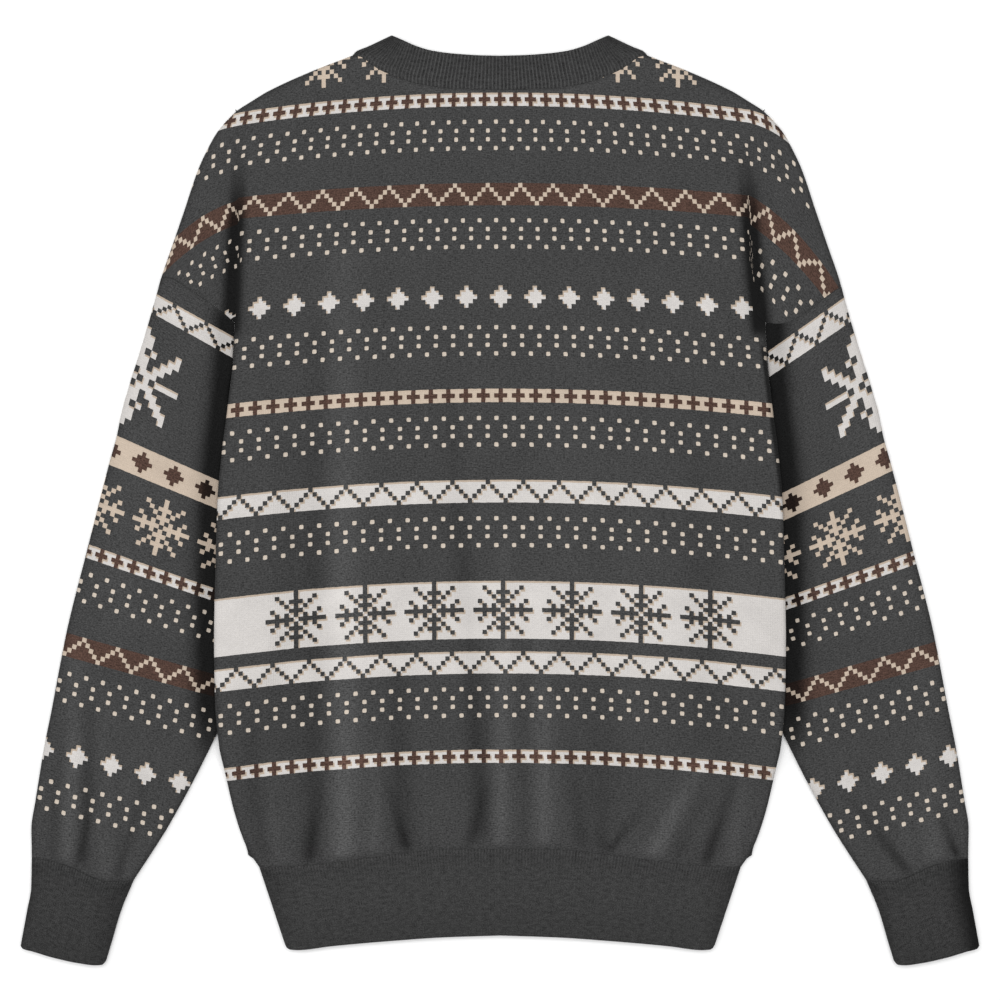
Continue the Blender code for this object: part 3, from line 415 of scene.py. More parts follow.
# The fold itself, y and x.
WING_FOLD = {-1: [(133.5, 197.0), (180.0, 194.6), (200.0, 194.8), (225.0, 196.5), (299.3, 187.5)],
             1: [(125.0, 190.5), (166.0, 188.2), (190.0, 187.0), (225.0, 185.3), (262.0, 185.0),
                 (280.0, 186.2), (299.3, 187.5)]}
# y where it starts to take cloth in, the mm of y until it takes all of it in, and the
# mm across over which it does.
WING_START, WING_RISE, WING_TAKE = {-1: ARMPIT_Y, 1: 124.0}, 8.0, 2.4
# The right fold takes in the squares past this one in these rows, mm down the cloth.
LAST_DIAMOND = 61.0
DIAMOND_ROWS = (206.0, 238.0)
# The slope of the rows of knitting along each sleeve: mm down its outer edge, slope.
SLEEVE_LINES = {-1: [(0.0, 0.55), (26.0, 0.56), (122.0, 0.444), (145.0, 0.409), (176.0, 0.371),
                     (212.0, 0.345), (228.0, 0.325), (276.0, 0.28), (304.0, 0.268),
                     (364.0, 0.2475), (387.0, 0.244), (440.0, 0.24)],
                1: [(0.0, 0.73), (32.0, 0.68), (128.0, 0.495), (150.0, 0.457), (182.0, 0.387),
                    (217.0, 0.358), (283.0, 0.282), (305.0, 0.27), (369.0, 0.244),
                    (391.0, 0.246), (440.0, 0.24)]}
SLEEVE_SQUARE = 3.25
EDGE_EXTRA = 40.0             # mm that this edge is drawn on past its ends
# mm down the cloth and how far a row sags, in mm for each mm squared from the middle
BODY_SAG = [(70.0, 3.75e-4), (91.0, 3.5e-4), (111.0, 3.1e-4), (165.0, 2.6e-4), (250.0, 2.6e-4),
            (313.0, 2.87e-4), (388.0, 2.93e-4), (517.0, 3.03e-4), (568.0, 3.2e-4)]
SAG_MIDDLE = 2.25             # x where it sags most
WING_ROUNDS, SAG_ROUNDS = 12, 4     # rounds of closing in on the row at a point


# ------------------------------------------------------------------ geometry
def smooth(knots, values, at):
    """A cubic through the rows of a table that doesn't overshoot them."""
    knots, values = np.asarray(knots, float), np.asarray(values, float)
    step = np.diff(knots)
    slope = np.diff(values) / step
    inner = np.where(slope[:-1] * slope[1:] > 0,
                     2 * slope[:-1] * slope[1:] / (slope[:-1] + slope[1:] + 1e-12), 0.0)
    tangent = np.concatenate(([slope[0]], inner, [slope[-1]]))
    at = np.clip(at, knots[0], knots[-1])
    i = np.clip(np.searchsorted(knots, at, side="right") - 1, 0, len(step) - 1)
    t = (at - knots[i]) / step[i]
    return (values[i] * (1 + 2 * t) * (1 - t) ** 2 + values[i + 1] * t * t * (3 - 2 * t)
            + step[i] * tangent[i] * t * (1 - t) ** 2 + step[i] * tangent[i + 1] * t * t * (t - 1))


def ease(value):
    """0 to 1 in a soft step."""
    value = np.clip(value, 0.0, 1.0)
    return value * value * (3 - 2 * value)


def rising(value, start, end):
    """0 to 1 in a soft step between two values, the second of which may be the lower."""
    return ease((value - start) / (end - start))


def near(distance, reach, power=2):
    """1 at a line, fading out over about the reach beside it."""
    return np.exp(-(distance / reach) ** power)


def shadow(distance, depth, reach, power=2):
    """Depth of the shadow beside a line."""
    return depth * near(distance, reach, power)


def crown(distance, height, reach):
    """Height of cloth that stands up softly from its edge."""
    return height * ease(distance / reach)


def at_least(least, share):
    """A share of 0 to 1 brought to between a least share and 1."""
    return least + (1 - least) * share


def unit(vector):
    return vector / math.hypot(*vector)


def units(vectors):
    """Rows of vectors, each made 1 long."""
    return vectors / np.hypot(*vectors.T)[:, None]


def rounded(distance):
    """Height of a round edge, 0 at the edge and 1 a radius in from it."""
    inside = np.clip(distance / HALF_HEIGHT, 0.0, 1.0)
    return np.sqrt(1 - (1 - inside) ** 2)


def lengths(points):
    """Distance along a line of points from its start."""
    return np.concatenate(([0.0], np.cumsum(np.hypot(*np.diff(points, axis=0).T))))


def along(points, at):
    """Points at fractions of the length of a smooth line through the given ones."""
    points = np.asarray(points, float)
    length = lengths(points)
    at = np.asarray(at) * length[-1]
    return np.stack([smooth(length, points[:, 0], at), smooth(length, points[:, 1], at)], -1)


def curve(points, count=60):
    """A smooth line through a few points, as a row of many."""
    return along(points, np.linspace(0, 1, count))


def on_polyline(points, at):
    """Points at fractions of the length of a line of straight pieces."""
    length = lengths(points)
    at = np.asarray(at) * length[-1]
    return np.stack([np.interp(at, length, points[:, 0]), np.interp(at, length, points[:, 1])], -1)


def moved_line(points, gap):
    """The same line moved sideways by gap, to the right of its direction."""
    piece = units(np.diff(points, axis=0))
    before = np.vstack([piece[:1], piece])
    after = np.vstack([piece, piece[-1:]])
    middle = units(before + after)
    stretch = 1 / np.sum(middle * after, axis=1)
    return points + gap * stretch[:, None] * np.stack([middle[:, 1], -middle[:, 0]], -1)


def distance_to(points, line):
    """Shortest distance from each point to a line of straight pieces."""
    best = np.full(len(points), np.inf)
    for start, end in zip(line[:-1], line[1:]):
        run = end - start
        t = np.clip(((points - start) @ run) / (run @ run), 0.0, 1.0)
        away = points - start - t[:, None] * run
        best = np.minimum(best, np.hypot(away[:, 0], away[:, 1]))
    return best


def side_x(y):
    """Half width of the body at the fold or the side edge."""
    table = np.array(SIDE)[::-1]
    return smooth(table[:, 0], table[:, 1], y)


SHOULDER_LINE = curve(SHOULDER)
SIDE_LINE = np.array([(side_x(y), y) for y in np.linspace(ARMPIT_Y, SIDE[-1][0], 50)])
ARMHOLE_LINES = {side: curve(ARMHOLES[side]) for side in ARMHOLES}
SLEEVE_TABLE = np.array(SLEEVE_ROWS)
SLEEVE_TABLES = {-1: SLEEVE_TABLE, 1: np.vstack([RIGHT_SLEEVE_TOP, SLEEVE_TABLE[1:]])}


def sleeve_inner_x(y):
    """x of the sleeve's inner edge, most of it under the body."""
    order = np.argsort(SLEEVE_TABLE[:, 1])
    return smooth(SLEEVE_TABLE[order, 1], SLEEVE_TABLE[order, 0], y)


def lift(x, y):
    """How far the body's side is raised where it lies on the sleeve."""
    inner_end = np.minimum(sleeve_inner_x(y), side_x(y)) - LIFT_MARGIN
    across = ease((np.abs(x) - inner_end + LIFT_RAMP) / LIFT_RAMP)
    return LIFT * across * rising(y, *LIFT_TOP) * rising(y, *LIFT_FOOT)


def fold_height(x, y, folds):
    """Sum of the soft folds at each point, which deepen towards their second end."""
    total = np.zeros_like(x)
    for x0, y0, x1, y1, half_width, height in folds:
        run_x, run_y = x1 - x0, y1 - y0
        t = ((x - x0) * run_x + (y - y0) * run_y) / (run_x ** 2 + run_y ** 2)
        beyond = np.maximum(0.0, np.maximum(-t, t - 1)) * math.hypot(run_x, run_y)
        away = np.hypot(x - x0 - t * run_x, y - y0 - t * run_y)
        swell_and_painted_light = at_least(FOLD_START, ease(np.clip(t, 0, 1) * FOLD_DEEPENS))
        total += height * swell_and_painted_light * near(away, half_width) * near(beyond, FOLD_RUN_OUT)
    return total


def back_relief(x, y, seam_distance, edge_distance):
    """Height of the back's folds over its flat cloth, and of the folds alone, which sets their
    painted light and shade.
    """
    past_fold = np.abs(x) - side_x(y)
    on_wing = (past_fold > 0) & (y > WING_FOOT)
    folds = fold_height(x, y, BACK_FOLDS) * ease(edge_distance / BACK_MARGIN)
    body = crown(edge_distance, *BACK_CROWN) + folds
    deep = rising(y, *DEEP_TOP) * rising(y, *DEEP_FOOT)
    beside = ease(-past_fold / RIDGE_START)
    beside = beside * near(np.clip(-past_fold - RIDGE_START, 0, None), RIDGE_FADE)
    body = body * (1 - deep * near(past_fold, RIDGE_FADE)) + FOLD_RIDGE * deep * beside
    wing = crown(past_fold, *WING_CROWN) * ease(edge_distance / WING_EDGE)
    relief = np.clip(np.where(on_wing, wing, body), 0.0, RELIEF_LIMIT)
    fade = ease(seam_distance / SEAM_FADE)
    return relief * fade, np.where(on_wing, 0.0, folds) * at_least(FOLDS_AT_SEAM, fade)


def sleeve_relief(x, y, seam_distance, edge_distance):
    """Height of a sleeve's folds, none where the body lies on it, and of the folds alone, which
    sets their painted light and shade.
    """
    outside = np.abs(x) - side_x(y)
    clear = np.where(y > COVERED_TO, rising(outside, *UNCOVERED), 1.0)
    folds = fold_height(x, y, SLEEVE_FOLDS) * ease(edge_distance / SLEEVE_MARGIN)
    relief = np.clip(crown(edge_distance, *SLEEVE_CROWN) + folds, 0.0, RELIEF_LIMIT)
    fade = ease(seam_distance / SEAM_FADE)
    return relief * clear * fade, folds * at_least(FOLDS_AT_SEAM, fade)


def seam_roll(seam_distance):
    """How far the cloth rolls down beside a seam."""
    return SEAM_DIP * near(seam_distance, SEAM_ROLL)


# --------------------------------------------------------- where the rows lie
def table_at(table, column, at):
    """A smooth curve through one column of a table, over its first column."""
    table = np.array(table)
    return smooth(table[:, 0], table[:, column], at)


def body_cloth(x, y):
    """Squares across and mm down the cloth at each point of the body."""
    across, down = np.zeros_like(x), np.zeros_like(x)
    for side in (-1, 1):
        here = x * side >= 0
        reach, level = np.abs(x[here]), y[here]
        over_armpit = ease((level - WING_START[side]) / WING_RISE)
        out = np.clip(reach - table_at(WING_FOLD[side], 1, level), 0.0, None) * over_armpit
        reach = reach - out
        past_fold = ease(out / WING_TAKE)
        for _ in range(WING_ROUNDS):
            rows = level
            level = (y[here] + table_at(WING_ROWS[side], 1, rows) * out
                     + table_at(WING_ROWS[side], 2, rows) * out ** 2
                     + table_at(WING_ROWS[side], 5, rows) * past_fold)
        pull = table_at(WING_ROWS[side], 3, level)
        taken_in = table_at(WING_ROWS[side], 4, level) * past_fold
        fall = CLOTH_TOP - level
        for _ in range(SAG_ROUNDS):
            sag = table_at(BODY_SAG, 1, fall)
            fall = CLOTH_TOP - level - sag * (side * reach - SAG_MIDDLE) ** 2
        far = (reach + out * pull + taken_in) / table_at(BODY_WIDTHS, 1, fall)
        if side > 0:
            folded_away = (fall > DIAMOND_ROWS[0]) & (fall < DIAMOND_ROWS[1])
            far = np.where(folded_away, np.minimum(far, LAST_DIAMOND), far)
        growth = table_at(BODY_WIDTHS, 2, fall)
        across[here] = side * far * (1 - growth * (far / SQUARES_TO_SIDE) ** 2)
        down[here] = fall
    return across, down


def sleeve_cloth(x, y, side):
    """Squares in from a sleeve's outer edge, and mm down along that edge."""
    edge = np.array([sleeve_edges(s, -1)[1] for s in np.linspace(0, 1, 400)])
    run, rise = unit(edge[-1] - edge[-40]) * EDGE_EXTRA, unit(edge[0] - edge[20]) * EDGE_EXTRA
    edge = np.vstack([edge[0] + rise, edge, edge[-1] + run, edge[-1] + run * 2])
    down = lengths(edge) - EDGE_EXTRA
    slope = table_at(SLEEVE_LINES[side], 1, down)
    short = (edge[:, 1] - slope * edge[:, 0])[None] - (y[:, None] - slope[None] * x[:, None])
    row = np.clip(np.argmax(short <= 0, axis=1), 1, len(down) - 1)
    every = np.arange(len(x))
    before, after = short[every, row - 1], short[every, row]
    t = np.clip(before / (before - after + 1e-9), -1.0, 2.0)
    at = down[row - 1] + t * (down[row] - down[row - 1])
    foot = np.interp(at, down, edge[:, 0])
    tilt = np.interp(at, down, slope)
    return (foot - x) * np.sqrt(1 + tilt ** 2) / SLEEVE_SQUARE, at


def fold_shade(x, y, edge_distance, seam_distance):
    """Depth of the painted shadow in the folds above the armpits, at the back's edges and seams,
    and along the right side's turned edge.
    """
    shade = shadow(edge_distance, *EDGE_SHADE) + shadow(seam_distance, *PANEL_SEAM_SHADE)
    for side, table in FOLD_SHADOWS.items():
        here = x * side >= 0
        level = y[here]
        half_width = table_at(table, 2, level)
        away = np.abs(x[here] * side - table_at(table, 1, level))
        past = np.clip(away - SHADOW_CORE * half_width, 0, None)
        strength = rising(level, *SHADOW_TOP) * rising(level, *SHADOW_FOOT)
        strength *= at_least(WEAK_SHADOW, rising(level, *SHADOW_DEEPENS))
        band = shadow(past, strength, (1 - SHADOW_CORE) * half_width, SHADOW_EDGE)
        shade[here] = np.maximum(shade[here], band)
    turn_shadow = ease((x - table_at(TURN_SHADOW_LINE, 1, y)) / TURN_SHADOW_RAMP) * rising(y, *TURN_SHADOW_TOP)
    return np.maximum(shade, TURN_SHADOW_DEPTH * turn_shadow * rising(y, *TURN_SHADOW_FOOT))


# --------------------------------------------------------------------- panels
def top_y(x, neck_seam):
    """y of a panel's upper boundary, along the shoulder and the neck seam."""
    x = np.abs(x)
    shoulder = np.array(SHOULDER)
    neck = np.array(neck_seam)[::-1]
    at_shoulder = smooth(shoulder[:, 0], shoulder[:, 1], x)
    return np.where(x >= shoulder[0, 0], at_shoulder, smooth(neck[:, 0], neck[:, 1], x))


def hem_y(x):
    table = np.array(HEM_SEAM)
    return smooth(table[:, 0], table[:, 1], np.abs(x))


def panel_row(y_side, drop, fixed, neck_seam):
    """One row: it follows the top edge above, and the hem seam below."""
    half_width = side_x(y_side)
    right = np.concatenate([half_width - np.array(fixed),
                            (half_width - fixed[-1]) * MIDDLE_STEPS])
    x = np.concatenate([-right, right[-2::-1]])
    top = top_y(x, neck_seam) - drop
    if y_side > ARMPIT_Y:
        start = SIDE[0][0] - drop
        share = (start - y_side) / (start - ARMPIT_Y)
        y = top + (ARMPIT_Y - top) * share
    else:
        share = (ARMPIT_Y - y_side) / (ARMPIT_Y - SIDE[-1][0])
        y = ARMPIT_Y + (hem_y(x) - ARMPIT_Y) * share
    return np.stack([x, y], -1)


def panel_points(neck_seam):
    """Rows of points over a panel between its two folds and side edges."""
    drops = [HALF_HEIGHT * r for r in ROUND]
    fixed = drops + FINE_SIDE
    rows = [panel_row(SIDE[0][0] - drop, drop, fixed, neck_seam) for drop in drops]
    rows += [panel_row(y_side, drops[-1], fixed, neck_seam) for y_side in BODY_ROWS]
    return np.array(rows)


def wing_points(body, side):
    """Rows of points from the fold above the armpit out to the shoulder's end."""
    drops = [HALF_HEIGHT * r for r in ROUND]
    last = len(ROUND) + len(ROWS_TO_ARMPIT) - 1
    shoulder = curve(SHOULDER[WING_TOP:WING_END[side]], 200)
    length = lengths(shoulder)[-1]
    top = SIDE[0][0] - drops[-1]
    shares = (top - ROWS_TO_ARMPIT) / (top - ARMPIT_Y)
    ends = drops + list(drops[-1] + (length - drops[-1]) * shares)
    rows = []
    for index, end in enumerate(ends):
        start, stop = body[index, -1], on_polyline(shoulder, end / length)
        width = math.hypot(*(stop - start))
        inner = np.linspace(0.0, width - HALF_HEIGHT, WING_STEPS + 1)
        q = np.concatenate([inner, [width - HALF_HEIGHT * r for r in ROUND[-2::-1]]]) / width
        straight = start + q[:, None] * (stop - start)
        seam = on_polyline(ARMHOLE_LINES[side], q)
        seam_chord = seam[0] + q[:, None] * (seam[-1] - seam[0])
        bow = ease((index - last + BOWED_ROWS) / BOWED_ROWS)
        rows.append(straight + (seam - seam_chord) * bow)
    return np.array(rows)


def panel_plan(over):
    """Rows of points over the back or the front, between its folds and over its wings."""
    body = panel_points(BACK_NECK_SEAM if over else FRONT_NECK_SEAM)
    return body, {side: wing_points(body, side) for side in (-1, 1)}


def on_neck(row):
    """Which points of a panel's first row the collar is sewn to."""
    return np.abs(row[:, 0]) <= SHOULDER[0][0] + 0.01


def panel_surface(over):
    """The grids of one panel: positions in space and on the cloth."""
    body, wings = panel_plan(over)
    neck = body[0][on_neck(body[0])]
    right, left = wings[1], wings[-1] * (-1, 1)
    seams = [body[-1], neck, right[-1], left[-1]]
    grids = []
    for plan in (body, right, left):
        flat = plan.reshape(-1, 2)
        x, y = flat[:, 0], flat[:, 1]
        mirrored = np.stack([np.abs(x), y], -1)
        edge = np.minimum(distance_to(mirrored, SHOULDER_LINE), distance_to(mirrored, SIDE_LINE))
        seam = np.min([distance_to(flat, line) for line in seams], axis=0)
        middle = HALF_HEIGHT + lift(x, y)
        height = np.maximum(HALF_HEIGHT * rounded(edge), SIDE_SEAM_GAP / 2)
        at_armhole = np.minimum(distance_to(flat, seams[2]), distance_to(flat, seams[3]))
        roll = seam_roll(seam) * np.where(at_armhole < seam + 0.1, ARMHOLE_ROLL, 1.0)
        height = np.maximum(height - roll, SIDE_SEAM_GAP / 2)
        relief, swell_and_painted_light = back_relief(x, y, seam, edge) if over else (x * 0, x * 0)
        # The neck seam's ridge stands up and is also given a painted highlight.
        ridge = NECK_RIDGE * near(distance_to(flat, neck) - RIDGE_PLACE, RIDGE_REACH) * over
        relief, swell_and_painted_light = relief + ridge, swell_and_painted_light + ridge * RIDGE_LIGHT
        z = middle + height + relief if over else middle - height
        across, down = body_cloth(x, y)
        place = np.stack([x, y, z], -1).reshape(*plan.shape[:2], 3)
        cloth = np.stack([across, down], -1).reshape(plan.shape)
        shade = fold_shade(x, y, edge, seam) if over else np.zeros_like(x)
        grids.append((place, cloth, shade.reshape(plan.shape[:2]), swell_and_painted_light.reshape(plan.shape[:2])))
    return grids


# ---------------------------------------------------------------------- tubes
def section(width, over, under):
    """Distance across and height -1 to 1 around a flattened tube."""
    bend = HALF_HEIGHT * np.array(ROUND[:-1])
    rise = np.sqrt(1 - (1 - np.array(ROUND[:-1])) ** 2)
    top = HALF_HEIGHT + (width - 2 * HALF_HEIGHT) * np.linspace(0, 1, over)
    bottom = HALF_HEIGHT + (width - 2 * HALF_HEIGHT) * np.linspace(1, 0, under)
    across = np.concatenate([bend, top, width - bend[::-1], width - bend[1:], bottom, bend[::-1]])
    height = np.concatenate([rise, np.ones(over), rise[::-1], -rise[1:], -np.ones(under),
                             -rise[::-1]])
    return across, height


def flat_tube(first, last, edges, fades, stations, columns, widths=None, at_last=None):
    """Positions round a flat tube between two open ends, with the height of each.

    first and last hold the lines of the upper and the lower layer at each end,
    edges gives the two folded edges at a share of the length, and fades say how
    far along each end's line is followed. at_last is where a share of the upper
    first line falls on the last.
    """
    start_inner, start_outer = edges(0.0)
    end_inner, end_outer = edges(1.0)
    rows, heights, shares = [], [], []
    for s in stations:
        inner, outer = edges(s)
        plans = {}
        for side in (1, -1):
            width = widths(s, side) if widths else math.hypot(*(outer - inner))
            across, height = section(width, *columns)
            share = across[:, None] / width
            begin = on_polyline(first[side], share[:, 0])
            begin = begin - (start_inner + share * (start_outer - start_inner))
            ends = at_last(share[:, 0]) if at_last and side > 0 else share[:, 0]
            close = on_polyline(last[side], ends)
            close = close - (end_inner + share * (end_outer - end_inner))
            straight = inner + share * (outer - inner)
            plans[side] = straight + begin * fades[0](s) + close * fades[1](s)
        plan = np.where(height[:, None] >= 0, plans[1], plans[-1])
        plan[-1] = plan[0]
        rows.append(plan)
        heights.append(height)
        shares.append(share[:, 0])
    return np.array(rows), np.array(heights), np.array(shares)


def both(line):
    """One line for the upper and the lower layer."""
    return {1: line, -1: line}


def from_lines(plan, above, lines):
    """Distance of each point from the line of its own layer."""
    flat = plan.reshape(-1, 2)
    return np.where(above, distance_to(flat, lines[1]).reshape(above.shape),
                    distance_to(flat, lines[-1]).reshape(above.shape))


def shared_ends(upper, lower, inner, outer):
    """Two lines with their end points brought together."""
    upper, lower = upper.copy(), lower.copy()
    upper[0] = lower[0] = inner
    upper[-1] = lower[-1] = outer
    return {1: upper, -1: lower}


def toward(point, target):
    """A seam's corner moved off the seam on its way to another point."""
    return point + unit(np.asarray(target, float) - point) * CORNER_GAP


def mirrored_line(half):
    """A line over the whole width from its right half, given from the middle or the end."""
    points = curve(half)
    if points[0][0] < points[-1][0]:
        points = points[::-1]
    return np.vstack([points * (-1, 1), points[::-1][1:]])


def straight_edges(first, last):
    """Edges that run straight from the ends of one line to the ends of another."""
    def edges(s):
        return first[0] + s * (last[0] - first[0]), first[-1] + s * (last[-1] - first[-1])
    return edges


def edges_in(table, knots, share):
    """Points of the inner and the outer edge, at a share of the way down a table."""
    values = np.array([float(smooth(knots, column, share * knots[-1])) for column in table.T])
    return values[:2], values[2:]


def sleeve_edges(s, side):
    table = SLEEVE_TABLES[side]
    return edges_in(table, lengths(table[:, 2:]), s)


def cuff_edges(s):
    return edges_in(np.array(CUFF_ROWS), range(len(CUFF_ROWS)), s)


# -------------------------------------------------------------------- meshes
def numbers(data, key, count, width=1):
    """A number or a vector for each point of a mesh, as rows."""
    values = np.zeros(count * width)
    data.foreach_get(key, values)
    return values.reshape(count, width)


class Cloth:
    """Grids of one piece: places in space, places on the cloth, and what varies over it."""

    def __init__(self):
        self.grids = []

    def add(self, place, cloth, run, shade, swell_and_painted_light, rise=None):
        blank = np.zeros(place.shape[:2])
        self.grids.append((place, cloth, run, shade, swell_and_painted_light, blank if rise is None else rise))

    def surface(self, name, upward):
        """One open surface, its grids joined where they meet."""
        surface = bmesh.new()
        # Layers of painted shade, of the painted light and shade of folds and ribs, and of the
        # ribs' rise and the seams' run.
        shade_layer = surface.verts.layers.float.new("shade")
        swell_and_painted_light_layer = surface.verts.layers.float.new("swell_and_painted_light")
        rise_layer = surface.verts.layers.float.new("rise")
        run_layer = surface.verts.layers.float_vector.new("seam_run")
        cloth_layer = surface.loops.layers.uv.new("knit")
        for place, cloth, run, shade, swell_and_painted_light, rise in self.grids:
            rows, columns = place.shape[:2]
            known = set(surface.faces)
            made = bmesh.ops.create_grid(surface, x_segments=columns - 1, y_segments=rows - 1,
                                         size=1.0)
            spots = {}
            values = zip(made["verts"], place.reshape(-1, 3), cloth.reshape(-1, 2),
                         shade.reshape(-1), swell_and_painted_light.reshape(-1), rise.reshape(-1),
                         run.reshape(-1, 2))
            for vert, spot, on_cloth, dark, full, raised, along_seam in values:
                vert.co = Vector(spot) * MM
                vert[shade_layer] = dark
                vert[swell_and_painted_light_layer] = full
                vert[rise_layer] = raised
                vert[run_layer] = (along_seam[0], along_seam[1], 0.0)
                spots[vert] = on_cloth
            for face in surface.faces:
                if face not in known:
                    for loop in face.loops:
                        loop[cloth_layer].uv = spots[loop.vert]
        bmesh.ops.remove_doubles(surface, verts=surface.verts, dist=WELD)
        bmesh.ops.recalc_face_normals(surface, faces=surface.faces)
        middle = HALF_HEIGHT * MM
        if upward is None:
            facing = sum(f.normal.z * (f.calc_center_median().z - middle) * f.calc_area()
                         for f in surface.faces)
        else:
            facing = sum(f.normal.z * f.calc_area() for f in surface.faces) * upward
        if facing < 0:
            bmesh.ops.reverse_faces(surface, faces=surface.faces)
        mesh = bpy.data.meshes.new(name)
        surface.to_mesh(mesh)
        surface.free()
        return mesh

    def piece(self, name, wall, upward=None):
        """Cloth a wall thick under the surface, upright at its seams."""
        mesh = self.surface(name, upward)
        cloth = bpy.data.objects.new(name, mesh)
        bpy.context.scene.collection.objects.link(cloth)
        thick = cloth.modifiers.new("wall", "SOLIDIFY")
        thick.thickness = wall
        thick.offset = -1.0
        thick.use_even_offset = True
        bpy.context.view_layer.update()
        graph = bpy.context.evaluated_depsgraph_get()
        solid = bpy.data.meshes.new_from_object(cloth.evaluated_get(graph))
        count = len(mesh.vertices)
        place = numbers(solid.vertices, "co", len(solid.vertices), 3)
        run = numbers(mesh.attributes["seam_run"].data, "vector", count, 3)[:, :2]
        outer, inner = place[:count], place[count:2 * count]
        at_seam = np.hypot(*run.T) > 0.5
        step = np.sum((inner - outer)[:, :2] * run, axis=1)[:, None]
        inner[at_seam, :2] = (outer[:, :2] + run * step)[at_seam]
        if upward is not None:
            x, y = inner[:, 0] / MM, inner[:, 1] / MM
            middle = (HALF_HEIGHT + lift(x, y)) * MM
            space = SIDE_SEAM_GAP / 2 * MM
            if upward > 0:
                inner[:, 2] = np.maximum(inner[:, 2], middle + space)
            else:
                inner[:, 2] = np.minimum(inner[:, 2], middle - space)
        outer[:, 2] += numbers(mesh.attributes["rise"].data, "value", count)[:, 0] * MM
        solid.vertices.foreach_set("co", place.ravel())
        solid.update()
        cloth.modifiers.clear()
        cloth.data = solid
        solid.name = name
        solid.shade_smooth()
        solid.set_sharp_from_angle(angle=SHARP_EDGE)
        return cloth


def seam_directions(points):
    """Unit direction along a row of points."""
    return units(np.gradient(points, axis=0))


def direction_on(line, share, step=0.004):
    """Unit direction of a line at shares of its length."""
    ahead = on_polyline(line, np.clip(share + step, 0, 1))
    behind = on_polyline(line, np.clip(share - step, 0, 1))
    return units(ahead - behind)


def tube_seams(above, shares, first, last):
    """Unit direction of the lines at a tube's two ends, and none in between."""
    run = np.zeros(above.shape + (2,))
    for row, lines in ((0, first), (-1, last)):
        run[row] = np.where(above[row][:, None], direction_on(lines[1], shares[row]),
                            direction_on(lines[-1], shares[row]))
    return run


def make_panel(name, over, sizes):
    """The back, lying on the front, or the front, lying on the floor."""
    cloth = Cloth()
    for index, (place, on_cloth, shade, swell_and_painted_light) in enumerate(panel_surface(over)):
        run = np.zeros(on_cloth.shape)
        run[-1] = seam_directions(place[-1, :, :2])
        if index == 0:
            neck = on_neck(place[0])
            run[0][neck] = seam_directions(place[0, :, :2])[neck]
        cloth.add(place, on_cloth, run, shade, swell_and_painted_light)
    made = cloth.piece(name + "_cloth", sizes.wall, 1 if over else -1)
    dress(made, name + "_panel", "body_knit")


def tube_rows(plan, heights, from_seam, share=1.0, relief=None):
    """Places round a flat tube, rolled down at its two open ends."""
    roll = seam_roll(from_seam) * share / HALF_HEIGHT
    z = HALF_HEIGHT * (1 + heights * (1 - roll))
    if relief is not None:
        z = z + relief * (heights > ON_FLAT)
    return np.concatenate([plan, z[..., None]], -1)


def sleeve_plan(side):
    """A sleeve's tube, as on the right, and the lines that it is sewn along at its ends."""
    wings = [panel_plan(over)[1][side][-1] for over in (True, False)]

    def edges(s):
        return sleeve_edges(s, side)

    first = shared_ends(moved_line(wings[0], SEAM_GAP), moved_line(wings[1], SEAM_GAP),
                        *edges(0.0))
    cuff_line = curve(CUFF_SEAM)
    fades = (lambda s: ease(1 - s / AT_ARMHOLE), lambda s: rising(s, 1 - AT_CUFF, 1))
    tube = flat_tube(first, both(cuff_line), edges, fades, SLEEVE_STATIONS, SLEEVE_COLUMNS)
    return tube, first, cuff_line


def make_sleeve(side, name, sizes):
    """One sleeve, a flat tube from its armhole to its cuff."""
    (plan, heights, shares), first, cuff_line = sleeve_plan(side)
    grid = plan.shape[:2]
    flat = plan.reshape(-1, 2)
    x, y = flat[:, 0], flat[:, 1]
    above = heights >= 0
    seam = np.minimum(from_lines(plan, above, first), from_lines(plan, above, both(cuff_line)))
    edges = np.array([sleeve_edges(s, side) for s in np.linspace(0, 1, 80)])
    edge = np.minimum(distance_to(flat, edges[:, 0]), distance_to(flat, edges[:, 1]))
    relief, swell_and_painted_light = sleeve_relief(x * side, y, seam.ravel(), edge)
    relief, swell_and_painted_light = relief.reshape(grid), swell_and_painted_light.reshape(grid) * above
    across, down = sleeve_cloth(x, y, side)
    across = across.reshape(grid)
    across[:, SLEEVE_OUTER:] *= -1
    run = tube_seams(above, shares, first, both(cuff_line))
    # Painted shadow of the body on the sleeve, at the sleeve's edges and beside its seams.
    all_dark, fades_over, power = UNDER_SHADE
    out = np.clip(x - side_x(y) - all_dark, 0, None)
    strength = rising(y, *UNDER_TOP) * rising(y, *UNDER_FOOT)
    shade = shadow(out, strength, fades_over, power)
    shade = np.maximum(shade, shadow(edge, *EDGE_SHADE)).reshape(grid)
    at_cuff = (SLEEVE_STATIONS > 0.5)[:, None]
    at_seam = np.where(at_cuff, CUFF_SEAM_SHADE, ARMHOLE_SHADE)
    shade = np.maximum(shade, shadow(seam, at_seam, SLEEVE_SEAM_REACH))
    cloth = Cloth()
    flip = np.array([side, 1, 1])
    share = np.where(at_cuff, 1.0, ARMHOLE_ROLL)
    cloth.add(tube_rows(plan, heights, seam, share, relief) * flip,
              np.stack([across, down.reshape(grid)], -1), run * flip[:2], shade, swell_and_painted_light)
    made = cloth.piece(name + "_cloth", sizes.wall)
    dress(made, name, name + "_knit")


def rib_profile(count, columns):
    """0 in a groove to 1 on a rib's crest, over a number of ribs."""
    phase = np.arange(columns) / RIB_STEPS
    return (0.5 - 0.5 * np.cos(2 * np.pi * phase)) ** RIB_POWER * (phase <= count)


